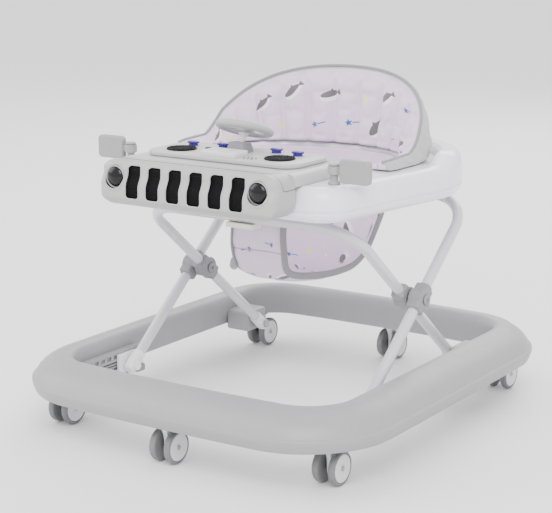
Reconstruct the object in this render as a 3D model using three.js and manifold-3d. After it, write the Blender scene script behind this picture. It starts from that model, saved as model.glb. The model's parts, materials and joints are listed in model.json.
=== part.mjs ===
// Baby walker: a wheeled base ring, a folding scissor frame and a play tray with a padded seat.
// Millimetres, +Z up. The origin is on the floor under the middle of the base ring; the front faces -Y.
import * as THREE from "three";
import { ParametricGeometry } from "three/addons/geometries/ParametricGeometry.js";
import { RoundedBoxGeometry } from "three/addons/geometries/RoundedBoxGeometry.js";
import { mergeVertices } from "three/addons/utils/BufferGeometryUtils.js";
import Module from "manifold-3d";

const wasm = await Module();
wasm.setup();

// ---- Driving dimensions ----

const GAP = 0.4; // between pieces that touch
const RUNNING_GAP = 0.6; // round pins and axles that turn
const SIDES = 10; // of a round piece

const WHEEL = 24; // radius

const RING = {
  halfX: 295,
  halfY: 335,
  bow: 9, // how far the front and rear edges bulge past halfY
  sideBow: 2,
  band: 67, // width of the channel, seen from above
  outerRadius: 132,
  innerRadius: 56,
  bottom: 2 * WHEEL + 9,
  crown: 52, // height of the channel
  wall: 3,
};
const CASTER = {
  cornerX: RING.halfX - 65,
  cornerY: RING.halfY - 77,
  middleY: RING.halfY - 24,
  wheelRadius: WHEEL,
  wheelWidth: 11,
  wheelGap: 14, // between the two wheels
  legWidth: 8.4,
  legDepth: 15,
  trail: 6, // of the axle behind the stem
  stemRadius: 5,
  stemHeight: 34,
  axleRadius: 3,
  bossRadius: 12,
};
// The angle is above the floor, in degrees; the length runs from a foot to its own crossbar.
const LEG = { angle: 39, length: 402, pivotY: 29 };
const SCISSOR = {
  pivotY: LEG.pivotY,
  footZ: RING.bottom + 5,
  rearFootY: LEG.pivotY + Math.round(0.393 * LEG.length),
  legAngle: LEG.angle,
  length: LEG.length,
  innerX: RING.halfX - RING.band - 48,
  outerX: RING.halfX - RING.band - 23,
  tubeRadius: 8,
  tubeWall: 1.5,
  bendRadius: 60,
  pinRadius: 4,
  eyeRadius: 12,
  eyeWidth: 17,
};
const HINGE_BLOCK = { hubRadius: 16, sleeveLength: 46, sleeveWidth: 24, width: 22 };
const frontFootY = 2 * SCISSOR.pivotY - SCISSOR.rearFootY;
const RACK = {
  front: frontFootY - 95,
  rear: frontFootY + 35,
  bottom: RING.bottom - 12,
  top: RING.bottom + 27,
  slots: 8,
  rods: 2,
  window: [RING.bottom, RING.bottom + 13],
};
const SHOE = { length: 40, height: 30, thickness: 4, tabLength: 26, tabDrop: 19 };
const LATCH = { width: 12, height: 7, grip: 6, drop: 12 }; // drop: below the foot's pin
const BRACKET = { length: 54, height: 34, depth: 12 }; // depth: below the pin

// What the tray carries follows the two crossbars: their height, and how far they have moved from the
// places that the sizes below were drawn for.
const legRise = THREE.MathUtils.degToRad(LEG.angle);
const barHeight = Math.round(SCISSOR.footZ + LEG.length * Math.sin(legRise));
const forward = Math.round(SCISSOR.rearFootY - LEG.length * Math.cos(legRise) + 125);

const TRAY = {
  bottom: barHeight + 22,
  deck: barHeight + 69,
  wall: 3,
  front: forward - 212,
  rear: 222 - forward,
  frontHalf: 206,
  rearHalf: 237,
  frontRadius: 46,
  rearRadius: 168,
  rimLift: 16, // of the rear bumper above the deck
  rimStart: 58,
  rimEnd: 74,
  rimWidth: 44,
};
const seatScale = (232 - 2 * forward) / 232; // of the seat's front-to-rear measures
const SEAT = {
  front: forward - 72,
  rear: 160 - forward,
  half: 140,
  frontRadius: 92 * seatScale,
  rearRadius: 108 * seatScale,
};
const SLING = {
  wall: 3,
  bottom: TRAY.bottom - 132,
  legHoleX: 46,
  legHole: [SEAT.front - 68, SEAT.front + 140 * seatScale, TRAY.bottom - 112, TRAY.bottom - 11],
  legRadius: 44,
};
const PAD = {
  outerHalf: SEAT.half + 52,
  innerHalf: SEAT.half + 8,
  start: SEAT.rear - 115 * seatScale, // where the two wings begin to turn round the back
  tip: SEAT.rear - 198 * seatScale, // of the wings
  outerDepth: 134 * seatScale,
  innerDepth: 104 * seatScale,
  top: TRAY.deck + 121,
};
const FASCIA = {
  half: 148,
  bottom: TRAY.bottom + 6,
  top: TRAY.deck + 21,
  face: TRAY.front - 56,
  depth: 52,
  radius: 24, // of the ends, seen from the front
  planRadius: 16, // of the ends, seen from above
  lean: 11, // of the upper half, backwards
  wall: 2.5,
};
const GRILLE = { slots: 6, pitch: 35, slotWidth: 21, slotHeight: 46, z: TRAY.deck - 8 };
const LAMP = { x: 120, z: TRAY.deck - 3, radius: 16, dome: 5 };
const HOOD = { half: 148, front: TRAY.front - 50, rear: SEAT.front - 8, top: TRAY.deck + 18, skin: 3, radius: 32 };
const CONSOLE = { half: 128, front: SEAT.front - 120, rear: SEAT.front - 14, thickness: 7, radius: 26 };
const BLOCK = { half: 30, front: CONSOLE.front + 2, rear: CONSOLE.front + 42, height: 8 };
const BUTTONS = [
  { name: "melody_button_left", x: -90, y: CONSOLE.rear - 34 },
  { name: "lamp_button_left", x: -42, y: CONSOLE.rear - 27 },
  { name: "lamp_button_right", x: 50, y: CONSOLE.rear - 27 },
  { name: "melody_button_right", x: 90, y: CONSOLE.rear - 34 },
];
const BUTTON = { radius: 7, height: 6, travel: 2 };
const DRUM = { x: 84, y: CONSOLE.front + 36, radius: 22, height: 3 };
const STEERING = {
  y: CONSOLE.rear - 45,
  tilt: 20,
  hubHeight: 34,
  rimRadius: 36,
  rimThickness: 6,
  hubRadius: 13,
  shaftRadius: 4,
  hornRadius: 8.5,
  hornTravel: 2,
  spokes: 3,
};
const BOOT = { baseRadius: 17, topRadius: 12, height: 15 };
const MIRROR = {
  postX: 174,
  postY: CONSOLE.front + 32,
  postRadius: 5.5,
  postHeight: 28,
  width: 46,
  depth: 13,
  height: 33,
};
const CLIP = { x: 70, width: 18 };
const TRACK = { half: 30, front: 60, rear: 14, plate: 3, hook: 23, lip: 7 }; // hook: half the catch's width

// ---- Derived places ----

const legAngle = THREE.MathUtils.degToRad(SCISSOR.legAngle);
const rise = { y: Math.cos(legAngle), z: Math.sin(legAngle) };
const pivotZ = SCISSOR.footZ + (SCISSOR.rearFootY - SCISSOR.pivotY) * Math.tan(legAngle);
const frontBar = {
  y: SCISSOR.rearFootY - SCISSOR.length * rise.y,
  z: SCISSOR.footZ + SCISSOR.length * rise.z,
};
const rearBar = { y: frontFootY + SCISSOR.length * rise.y, z: frontBar.z };
// Faces that stand side by side between the legs and the ring's inner wall.
const bracketFace = SCISSOR.innerX + SCISSOR.eyeWidth / 2 + GAP;
const shoeFace = SCISSOR.outerX + SCISSOR.eyeWidth / 2 + RUNNING_GAP;
const rackFace = shoeFace + SHOE.thickness + RUNNING_GAP;
const wheelX = (CASTER.wheelGap + CASTER.wheelWidth) / 2;
const onDeck = TRAY.deck + GAP;
const consoleBase = HOOD.top + GAP;
const consoleTop = consoleBase + CONSOLE.thickness;

// ---- Materials ----

const plastic = (color, roughness) => ({ color, roughness, metalness: 0 });
const RING_GREY = plastic(0xbfbfc2, 0.45);
const TRAY_WHITE = plastic(0xeeeaf4, 0.25);
const HOOD_GREY = plastic(0xcfcfd0, 0.4);
const FRAME_PAINT = { color: 0xdcd8e2, roughness: 0.35, metalness: 0.1 };
const BLOCK_GREY = plastic(0x9c9ca2, 0.5);
const TYRE_GREY = plastic(0x97979a, 0.6);
const FORK_WHITE = plastic(0xe6e6ea, 0.4);
const BLACK = plastic(0x17171b, 0.3);
const BUTTON_BLUE = plastic(0x3a3192, 0.3);
const CREAM = plastic(0xe9e7dc, 0.4);
const FABRIC = plastic(0xe2d6e6, 0.9);
const STEEL = { color: 0x8d8f94, roughness: 0.35, metalness: 0.8 };

// ---- Solids: joining and cutting ----

function solid(geometry) {
  const bare = geometry.clone();
  bare.deleteAttribute("normal");
  bare.deleteAttribute("uv");
  const merged = mergeVertices(bare, 1e-3);
  const corners = merged.index.array;
  const kept = [];
  for (let i = 0; i < corners.length; i += 3) {
    const [a, b, c] = [corners[i], corners[i + 1], corners[i + 2]];
    if (a !== b && b !== c && c !== a) kept.push(a, b, c);
  }
  return new wasm.Manifold(
    new wasm.Mesh({
      numProp: 3,
      vertProperties: merged.attributes.position.array,
      triVerts: new Uint32Array(kept),
    }),
  );
}

function surface(manifold) {
  const mesh = manifold.getMesh();
  const geometry = new THREE.BufferGeometry();
  geometry.setAttribute("position", new THREE.BufferAttribute(mesh.vertProperties, 3));
  geometry.setIndex(new THREE.BufferAttribute(mesh.triVerts, 1));
  return geometry;
}

const join = (...pieces) => surface(pieces.map(solid).reduce((a, b) => a.add(b)));
const cut = (piece, ...tools) => surface(tools.map(solid).reduce((a, b) => a.subtract(b), solid(piece)));
const common = (...pieces) => surface(pieces.map(solid).reduce((a, b) => a.intersect(b)));

// ---- Plain shapes, placed where they belong ----

function box([x0, x1], [y0, y1], [z0, z1]) {
  const geometry = new THREE.BoxGeometry(x1 - x0, y1 - y0, z1 - z0);
  return geometry.translate((x0 + x1) / 2, (y0 + y1) / 2, (z0 + z1) / 2);
}

function roundedBox([x0, x1], [y0, y1], [z0, z1], radius) {
  const geometry = new RoundedBoxGeometry(x1 - x0, y1 - y0, z1 - z0, 1, radius);
  return geometry.translate((x0 + x1) / 2, (y0 + y1) / 2, (z0 + z1) / 2);
}

function rodX(radius, [x0, x1], y, z, sides = SIDES) {
  const geometry = new THREE.CylinderGeometry(radius, radius, x1 - x0, sides);
  return geometry.rotateZ(Math.PI / 2).translate((x0 + x1) / 2, y, z);
}

function rodY(radius, x, [y0, y1], z, sides = SIDES) {
  const geometry = new THREE.CylinderGeometry(radius, radius, y1 - y0, sides);
  return geometry.translate(x, (y0 + y1) / 2, z);
}

function rodZ(radius, x, y, [z0, z1], sides = SIDES, topRadius = radius) {
  const geometry = new THREE.CylinderGeometry(topRadius, radius, z1 - z0, sides);
  return geometry.rotateX(Math.PI / 2).translate(x, y, (z0 + z1) / 2);
}

// A rectangle with round corners, as a Shape.
function roundedRect(x0, x1, y0, y1, radius) {
  const shape = new THREE.Shape();
  shape.moveTo(x0 + radius, y0);
  shape.lineTo(x1 - radius, y0);
  shape.absarc(x1 - radius, y0 + radius, radius, -Math.PI / 2, 0);
  shape.lineTo(x1, y1 - radius);
  shape.absarc(x1 - radius, y1 - radius, radius, 0, Math.PI / 2);
  shape.lineTo(x0 + radius, y1);
  shape.absarc(x0 + radius, y1 - radius, radius, Math.PI / 2, Math.PI);
  shape.lineTo(x0, y0 + radius);
  shape.absarc(x0 + radius, y0 + radius, radius, Math.PI, 1.5 * Math.PI);
  return shape;
}

// A shape drawn in plan, front view (X, Z) or side view (Y, Z), and pulled through the other axis.
const prismZ = (shape, [z0, z1], curveSegments = 5) =>
  new THREE.ExtrudeGeometry(shape, { depth: z1 - z0, bevelEnabled: false, curveSegments }).translate(0, 0, z0);
const prismY = (shape, [y0, y1], curveSegments = 5) =>
  new THREE.ExtrudeGeometry(shape, { depth: y1 - y0, bevelEnabled: false, curveSegments })
    .rotateX(Math.PI / 2)
    .translate(0, y1, 0);
const prismX = (shape, [x0, x1], curveSegments = 5) =>
  new THREE.ExtrudeGeometry(shape, { depth: x1 - x0, bevelEnabled: false, curveSegments })
    .rotateY(Math.PI / 2)
    .rotateX(Math.PI / 2)
    .translate(x0, 0, 0);

// ---- Outlines in plan, and shells swept round them ----

const CORNER_STEPS = 5;
const EDGE_STEPS = 3;

// Points round a rounded trapezoid, anticlockwise from the start of its front right corner.
function outline({ front, rear, frontHalf, rearHalf, frontRadius, rearRadius, bow = 0, sideBow = 0 }) {
  const corners = [
    { x: frontHalf - frontRadius, y: front + frontRadius, radius: frontRadius },
    { x: rearHalf - rearRadius, y: rear - rearRadius, radius: rearRadius },
    { x: rearRadius - rearHalf, y: rear - rearRadius, radius: rearRadius },
    { x: frontRadius - frontHalf, y: front + frontRadius, radius: frontRadius },
  ];
  const arc = (corner, quarter, t) => {
    const angle = ((quarter + t - 1) * Math.PI) / 2;
    const { x, y, radius } = corner;
    return new THREE.Vector2(x + radius * Math.cos(angle), y + radius * Math.sin(angle));
  };
  const points = [];
  corners.forEach((corner, quarter) => {
    for (let i = 0; i <= CORNER_STEPS; i++) points.push(arc(corner, quarter, i / CORNER_STEPS));
    const next = arc(corners[(quarter + 1) % 4], quarter + 1, 0);
    const last = points[points.length - 1];
    for (let i = 1; i <= EDGE_STEPS; i++) points.push(last.clone().lerp(next, i / (EDGE_STEPS + 1)));
  });
  const middle = (front + rear) / 2;
  const reach = (rear - front) / 2;
  const half = Math.max(frontHalf, rearHalf);
  return points.map((p) => {
    const y = (p.y - middle) / reach;
    const x = p.x / half;
    return new THREE.Vector2(p.x + sideBow * x * (1 - y * y), p.y + bow * y * (1 - x * x));
  });
}

// The outline moved inwards, square to itself.
function inset(points, distance) {
  return points.map((p, i) => {
    const before = points[(i + points.length - 1) % points.length];
    const after = points[(i + 1) % points.length];
    const along = after.clone().sub(before).normalize();
    return new THREE.Vector2(p.x - along.y * distance, p.y + along.x * distance);
  });
}

const level = (points, z) =>
  points.map((p) => new THREE.Vector3(p.x, p.y, typeof z === "function" ? z(p) : z));

// A closed skin through rings of points, the last ring joined to the first.
function skin(rings) {
  const across = rings[0].length;
  const geometry = new ParametricGeometry(
    (u, v, target) => target.copy(rings[Math.round(v * rings.length) % rings.length][Math.round(u * across) % across]),
    across,
    rings.length,
  );
  const closed = solid(geometry);
  return surface(closed);
}

// An open line of [inset, height] points, moved sideways by a wall's thickness.
function offsetLine(line, distance) {
  return line.map((p, i) => {
    const before = line[Math.max(0, i - 1)];
    const after = line[Math.min(line.length - 1, i + 1)];
    const along = new THREE.Vector2(after[0] - before[0], after[1] - before[1]).normalize();
    return [p[0] + along.y * distance, p[1] - along.x * distance];
  });
}

// A band between two outlines. Each section point is [distance from the outer outline, height], on a
// band of the given width; past the middle it is measured from the inner outline instead.
function band(outer, inner, width, section) {
  return skin(
    section.map(([across, z]) =>
      across < width / 2 ? level(inset(outer, across), z) : level(inset(inner, across - width), z),
    ),
  );
}

// ---- The group and its pieces ----

const walker = new THREE.Group();

function add(name, geometry, finish, parent = walker) {
  const mesh = new THREE.Mesh(geometry, new THREE.MeshStandardMaterial(finish));
  mesh.name = name;
  parent.add(mesh);
  return mesh;
}

// A piece on the right side, and its mirror image on the left.
function addPair(name, geometry, finish) {
  add(name + "_right", geometry, finish);
  add(name + "_left", geometry, finish).scale.x = -1;
}

// ---- Base ring, its racks and brackets ----

// The ring's two outlines in plan, the inner one drawn in by a clearance.
const ringOutline = (clearance = 0) => ({
  outer: outline({
    front: -RING.halfY,
    rear: RING.halfY,
    frontHalf: RING.halfX,
    rearHalf: RING.halfX,
    frontRadius: RING.outerRadius,
    rearRadius: RING.outerRadius,
    bow: RING.bow,
    sideBow: RING.sideBow,
  }),
  inner: inset(
    outline({
      front: RING.band - RING.halfY,
      rear: RING.halfY - RING.band,
      frontHalf: RING.halfX - RING.band,
      rearHalf: RING.halfX - RING.band,
      frontRadius: RING.innerRadius,
      rearRadius: RING.innerRadius,
      bow: RING.bow,
      sideBow: RING.sideBow,
    }),
    clearance,
  ),
});

// The top skin, from the outer lip over the crown to the inner wall's foot.
function ringProfile() {
  const { band: w, bottom, crown } = RING;
  return [
    [9, bottom],
    [0, bottom + 0.25 * crown],
    [3, bottom + 0.44 * crown],
    [12, bottom + 0.66 * crown],
    [24, bottom + 0.83 * crown],
    [38, bottom + 0.95 * crown],
    [w - 22, bottom + crown],
    [w - 6, bottom + 0.93 * crown],
    [w, bottom + 0.76 * crown],
    [w - 6, bottom + 1],
  ];
}

function ringFilled(clearance) {
  const { outer, inner } = ringOutline(clearance);
  return band(outer, inner, RING.band, ringProfile());
}

const casterPlaces = [
  { name: "front_left", x: -CASTER.cornerX, y: -CASTER.cornerY },
  { name: "front_middle", x: 0, y: -CASTER.middleY },
  { name: "front_right", x: CASTER.cornerX, y: -CASTER.cornerY },
  { name: "rear_left", x: -CASTER.cornerX, y: CASTER.cornerY },
  { name: "rear_middle", x: 0, y: CASTER.middleY },
  { name: "rear_right", x: CASTER.cornerX, y: CASTER.cornerY },
];

function baseRing() {
  const { outer, inner } = ringOutline();
  const profile = ringProfile();
  const shell = band(outer, inner, RING.band, [...profile, ...offsetLine(profile, RING.wall).reverse()]);
  const bossBottom = RING.bottom + 2;
  const ringTop = RING.bottom + RING.crown;
  const filled = ringFilled(0);
  const bosses = casterPlaces.map(({ x, y }) =>
    common(rodZ(CASTER.bossRadius, x, y, [bossBottom, ringTop], 8), filled),
  );
  const bores = casterPlaces.map(({ x, y }) => {
    const top = RING.bottom + CASTER.stemHeight + GAP;
    return rodZ(CASTER.stemRadius + RUNNING_GAP, x, y, [bossBottom - 1, top], 8);
  });
  return cut(join(shell, ...bosses), ...bores);
}

// The notched rail on the ring's inner wall: a row of slots on top, two guide rods in a window, and
// notches below for the latch.
function rack() {
  const { front, rear, bottom, top, slots, rods, window } = RACK;
  const plate = box([rackFace, RING.halfX - RING.band + 3], [front, rear], [bottom, top]);
  const pitch = (rear - front - 12) / slots;
  const row = (low, high) =>
    Array.from({ length: slots }, (_, i) => {
      const y = front + 6 + pitch * (i + 0.5);
      return box([rackFace - 1, rackFace + 3], [y - 0.32 * pitch, y + 0.32 * pitch], [low, high]);
    });
  const pocket = box([rackFace - 1, rackFace + 4], [front + 6, rear - 6], window);
  const body = cut(plate, ringFilled(GAP), ...row(top - 10, top - 4), ...row(bottom + 1.5, bottom + 8.5), pocket);
  const rail = (i) => {
    const z = window[0] + ((window[1] - window[0]) * (i + 1)) / (rods + 1);
    return rodY(1.5, rackFace + 2, [front + 5, rear - 5], z, 6);
  };
  return join(body, ...Array.from({ length: rods }, (_, i) => rail(i)));
}

function rearBracket() {
  const { rearFootY: y, footZ: z, pinRadius } = SCISSOR;
  const bottom = z - BRACKET.depth;
  const block = roundedBox(
    [bracketFace, RING.halfX - RING.band + 5],
    [y - BRACKET.length / 2, y + BRACKET.length / 2],
    [bottom, bottom + BRACKET.height],
    4,
  );
  const bore = rodX(pinRadius + GAP, [bracketFace - 1, bracketFace + 18], y, z);
  return cut(block, ringFilled(GAP), bore);
}

function rearPin() {
  const { innerX, eyeWidth, pinRadius, rearFootY: y, footZ: z } = SCISSOR;
  const head = innerX - eyeWidth / 2 - GAP;
  return join(rodX(pinRadius, [head - 1, bracketFace + 16], y, z), rodX(7, [head - 3, head], y, z));
}

add("base_ring", baseRing(), RING_GREY);
addPair("rack", rack(), RING_GREY);
addPair("rear_bracket", rearBracket(), HOOD_GREY);
addPair("rear_pin", rearPin(), STEEL);

// ---- Casters ----

// The swivelling fork with its stem, axle and screw heads, at the origin of its own stem.
function casterFork() {
  const { wheelRadius: r, trail, legWidth, legDepth, stemRadius, stemHeight, axleRadius } = CASTER;
  const flange = [RING.bottom - 4, RING.bottom - GAP];
  const outside = wheelX + CASTER.wheelWidth / 2;
  const leg = box(
    [-legWidth / 2, legWidth / 2],
    [trail - legDepth / 2, trail + legDepth / 2],
    [r - 15, flange[0] + 1],
  );
  return join(
    leg,
    rodZ(13, 0, 0, flange),
    rodZ(stemRadius, 0, 0, [flange[0] + 1, RING.bottom + stemHeight], 8),
    rodX(6, [-CASTER.wheelGap / 2 + GAP, CASTER.wheelGap / 2 - GAP], trail, r, 8),
    rodX(axleRadius, [-outside, outside], trail, r, 8),
    rodX(4.5, [-outside - 0.5, -outside + 1.1], trail, r, 8),
    rodX(4.5, [outside - 1.1, outside + 0.5], trail, r, 8),
  );
}

function casterWheel() {
  const { wheelRadius: r, wheelWidth: w, axleRadius } = CASTER;
  const bore = axleRadius + RUNNING_GAP;
  const half = w / 2;
  const profile = [
    [bore, -half],
    [0.84 * r, -half],
    [r, -half + 3.5],
    [r, half - 3.5],
    [0.84 * r, half],
    [bore, half - 1.5],
    [bore, -half],
  ];
  const wheel = new THREE.LatheGeometry(profile.map(([x, y]) => new THREE.Vector2(x, y)), 16);
  return wheel.rotateZ(-Math.PI / 2);
}

for (const { name, x, y } of casterPlaces) {
  const caster = new THREE.Group();
  caster.position.set(x, y, 0);
  walker.add(caster);
  add("caster_fork_" + name, casterFork(), FORK_WHITE, caster);
  for (const side of ["left", "right"]) {
    const wheel = add(`caster_wheel_${name}_${side}`, casterWheel(), TYRE_GREY, caster);
    const sign = side === "right" ? 1 : -1;
    wheel.position.set(sign * wheelX, CASTER.trail, CASTER.wheelRadius);
    wheel.scale.x = sign;
  }
}

// ---- Scissor frame ----

// A path through chosen points, so that only the bends take many steps.
class Route extends THREE.Curve {
  constructor(points) {
    super();
    this.points = points;
  }

  getPoint(t) {
    return this.points[Math.round(t * (this.points.length - 1))].clone();
  }

  getPointAt(t) {
    return this.getPoint(t);
  }

  getTangentAt(t) {
    const last = this.points.length - 1;
    const i = Math.round(t * last);
    const before = this.points[Math.max(0, i - 1)];
    const middle = this.points[i];
    const after = this.points[Math.min(last, i + 1)];
    const arriving = middle.clone().sub(before).normalize();
    const leaving = after.clone().sub(middle).normalize();
    return arriving.add(leaving).normalize();
  }
}

// A bent tube from one foot over its crossbar to the other foot. Forward is -1 for the inner frame,
// whose feet are at the rear, and +1 for the outer frame.
function legFrame(halfSpan, footY, forward) {
  const { footZ, length, bendRadius: bend, tubeRadius, tubeWall, eyeRadius, eyeWidth, pinRadius } = SCISSOR;
  const at = (x, along) =>
    new THREE.Vector3(x, footY + forward * along * rise.y, footZ + along * rise.z);
  const bendSteps = 5;
  const leftBend = Array.from({ length: bendSteps + 1 }, (_, i) => {
    const angle = ((i / bendSteps) * Math.PI) / 2;
    return at(-halfSpan + bend * (1 - Math.cos(angle)), length - bend * (1 - Math.sin(angle)));
  });
  const rightBend = leftBend.map((p) => new THREE.Vector3(-p.x, p.y, p.z)).reverse();
  const route = new Route([at(-halfSpan, 0), ...leftBend, ...rightBend, at(halfSpan, 0)]);
  const wall = new THREE.Shape().absarc(0, 0, tubeRadius, 0, 2 * Math.PI);
  wall.holes.push(new THREE.Path().absarc(0, 0, tubeRadius - tubeWall, 0, 2 * Math.PI));
  const tube = new THREE.ExtrudeGeometry(wall, {
    steps: route.points.length - 1,
    extrudePath: route,
    bevelEnabled: false,
    curveSegments: 5,
  });
  const eyes = [-1, 1].map((side) => {
    const x = side * halfSpan;
    return rodX(eyeRadius, [x - eyeWidth / 2, x + eyeWidth / 2], footY, footZ, 12);
  });
  const bore = (y, z) => rodX(pinRadius + RUNNING_GAP, [-halfSpan - 20, halfSpan + 20], y, z);
  const drilled = cut(join(tube, ...eyes), bore(footY, footZ));
  const pivotBores = [-1, 1].map((side) => {
    const x = side * halfSpan;
    return rodX(pinRadius + RUNNING_GAP, [x - 20, x + 20], SCISSOR.pivotY, pivotZ);
  });
  return cut(drilled, ...pivotBores);
}

// The moulded block that wraps a tube at the scissor pivot.
function hingeBlock(x, forward) {
  const { hubRadius, sleeveLength, sleeveWidth, width } = HINGE_BLOCK;
  const span = [x - width / 2, x + width / 2];
  const { pivotY: y, tubeRadius, pinRadius } = SCISSOR;
  const turn = (geometry) => geometry.rotateX(forward * legAngle).translate(0, y, pivotZ);
  const sleeve = box(span, [-sleeveLength / 2, sleeveLength / 2], [-sleeveWidth / 2, sleeveWidth / 2]);
  const tubeBore = rodY(tubeRadius + GAP, x, [-sleeveLength, sleeveLength], 0, 12);
  return cut(
    join(turn(sleeve), rodX(hubRadius, span, y, pivotZ, 14)),
    turn(tubeBore),
    rodX(pinRadius + RUNNING_GAP, [span[0] - 1, span[1] + 1], y, pivotZ),
  );
}

function scissorPin() {
  const { innerX, outerX, pinRadius, pivotY: y } = SCISSOR;
  const inside = innerX - HINGE_BLOCK.width / 2 - GAP;
  const outside = outerX + HINGE_BLOCK.width / 2 + GAP;
  const gapMiddle = (innerX + outerX) / 2;
  return join(
    rodX(pinRadius, [inside - 1, outside + 1], y, pivotZ),
    rodX(8, [inside - 3, inside], y, pivotZ),
    rodX(8, [outside, outside + 3], y, pivotZ),
    rodX(9, [gapMiddle - 1, gapMiddle + 1], y, pivotZ),
  );
}

const latchY = frontFootY + SHOE.length / 2 + LATCH.width / 2 + 1;
const latchZ = SCISSOR.footZ - LATCH.drop;

// The slider that carries a front foot along its rack, with the foot's pin and a tab for the latch.
function shoe() {
  const { footZ: z, outerX, eyeWidth, pinRadius } = SCISSOR;
  const plateX = [shoeFace, shoeFace + SHOE.thickness];
  const head = outerX - eyeWidth / 2 - GAP;
  const plate = box(
    plateX,
    [frontFootY - SHOE.length / 2, frontFootY + SHOE.length / 2],
    [z - SHOE.height / 2 + 3, z + SHOE.height / 2 + 3],
  );
  const tab = box(plateX, [latchY - SHOE.tabLength / 2, latchY + SHOE.tabLength / 2], [z - SHOE.tabDrop, z - 6]);
  const around = (middle, size) => [middle - size / 2 - RUNNING_GAP, middle + size / 2 + RUNNING_GAP];
  const window = box(
    [plateX[0] - 1, plateX[1] + 1],
    around(latchY, LATCH.width),
    around(latchZ, LATCH.height),
  );
  return join(
    cut(join(plate, tab), window),
    rodX(pinRadius, [head - 1, plateX[0] + 1], frontFootY, z),
    rodX(7, [head - 3, head], frontFootY, z),
  );
}

// The release button in the shoe's tab: a grip on the inside, and a tongue that reaches the notches.
function latch() {
  const { width, height, grip } = LATCH;
  const tongue = box(
    [shoeFace - 2, shoeFace + SHOE.thickness],
    [latchY - width / 2, latchY + width / 2],
    [latchZ - height / 2, latchZ + height / 2],
  );
  const inner = shoeFace - GAP;
  const pad = roundedBox([inner - grip, inner], [latchY - 9, latchY + 9], [latchZ - 5.5, latchZ + 5.5], 2);
  return join(tongue, pad);
}

add("inner_leg_frame", legFrame(SCISSOR.innerX, SCISSOR.rearFootY, -1), FRAME_PAINT);
add("outer_leg_frame", legFrame(SCISSOR.outerX, frontFootY, 1), FRAME_PAINT);
addPair("inner_hinge_block", hingeBlock(SCISSOR.innerX, -1), BLOCK_GREY);
addPair("outer_hinge_block", hingeBlock(SCISSOR.outerX, 1), BLOCK_GREY);
addPair("scissor_pin", scissorPin(), STEEL);
addPair("shoe", shoe(), FORK_WHITE);
addPair("latch", latch(), BLOCK_GREY);

// ---- Tray ----

const trayOutline = outline(TRAY);
const seatOutline = (smaller = 0) =>
  outline({
    front: SEAT.front + smaller,
    rear: SEAT.rear - smaller,
    frontHalf: SEAT.half - smaller,
    rearHalf: SEAT.half - smaller,
    frontRadius: SEAT.frontRadius - smaller,
    rearRadius: SEAT.rearRadius - smaller,
  });

const bumper = (y) => TRAY.rimLift * THREE.MathUtils.smoothstep(y, TRAY.rimStart, TRAY.rimEnd);

// The tray's rings, outside first. Deeper is 0 for the top skin and the wall's thickness for the underside.
function trayRings(deeper) {
  const { bottom, deck, rimWidth } = TRAY;
  const outside = (distance, z, lifted) =>
    level(inset(trayOutline, distance + deeper), (p) => z + (lifted ? bumper(p.y) : 0));
  const opening = seatOutline();
  return [
    outside(9, bottom, false),
    outside(3, bottom + 5, false),
    outside(0, bottom + 14, false),
    outside(2, deck - 15, true),
    outside(7, deck - 5 - deeper / 2, true),
    outside(15, deck - deeper, true),
    outside(rimWidth - 14, deck - deeper, true),
    outside(rimWidth - 6, deck - deeper, false),
    level(inset(opening, -6 - deeper), deck - deeper),
    level(inset(opening, -deeper), deck - 4 - deeper / 2),
    level(inset(opening, -deeper), bottom + 6),
  ];
}

function trayShell() {
  const { x, width } = CLIP;
  const shell = skin([...trayRings(0), ...trayRings(TRAY.wall).reverse()]);
  const grip = SCISSOR.tubeRadius + RUNNING_GAP;
  const ceiling = TRAY.deck - TRAY.wall / 2;
  const clips = [-1, 1].map((side) =>
    box(
      side > 0 ? [x, x + width] : [-x - width, -x],
      [rearBar.y - 14, rearBar.y + 14],
      [rearBar.z - 6, ceiling],
    ),
  );
  const bar = rodX(grip, [-x - width - 5, x + width + 5], rearBar.y, rearBar.z, 16);
  const mouth = box([-x - width - 5, x + width + 5], [rearBar.y - 6, rearBar.y + 6], [rearBar.z - 12, rearBar.z]);
  return join(shell, ...clips.map((clip) => cut(clip, bar, mouth)));
}

// A plate under the tray, which the front crossbar slides along as the frame folds, with a catch in the
// middle that the bar comes to rest in. The catch is open to the front.
function frontTrack() {
  const { half, front, rear, plate, hook, lip } = TRACK;
  const slotHalf = SCISSOR.tubeRadius + RUNNING_GAP;
  const under = frontBar.z + slotHalf;
  const back = frontBar.y + rear;
  const postAt = (side, y) => rodZ(5, side * (half - 12), y, [under + plate - 1, TRAY.deck - TRAY.wall - GAP], 6);
  const body = join(
    box([-half, half], [frontBar.y - front, back], [under, under + plate]),
    box([-hook, hook], [frontBar.y - 10, back], [frontBar.z - slotHalf - lip, under + plate]),
    ...[-1, 1].flatMap((side) => [postAt(side, frontBar.y - 34), postAt(side, frontBar.y + 4)]),
  );
  const seat = roundedRect(frontBar.y - 40, frontBar.y + slotHalf, -slotHalf, slotHalf, slotHalf - 0.1);
  return cut(body, prismX(seat, [-half - 1, half + 1]).translate(0, 0, frontBar.z));
}

add("tray_shell", trayShell(), TRAY_WHITE);
add("front_track", frontTrack(), CREAM);

// ---- Front: fascia, grille, headlights and hood ----

// The fascia's side profile, stepped in from the face by a distance.
function fasciaSide(back, stepIn) {
  const { face, bottom, top, lean } = FASCIA;
  const front = face + stepIn;
  const shape = new THREE.Shape();
  shape.moveTo(back, bottom + stepIn);
  shape.lineTo(front + 6, bottom + stepIn);
  shape.lineTo(front, bottom + 9);
  shape.lineTo(front, (bottom + top) / 2);
  shape.lineTo(front + 0.6 * lean, top - 10);
  shape.lineTo(front + lean + 3, top - stepIn);
  shape.lineTo(back, top - stepIn);
  return shape;
}

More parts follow.
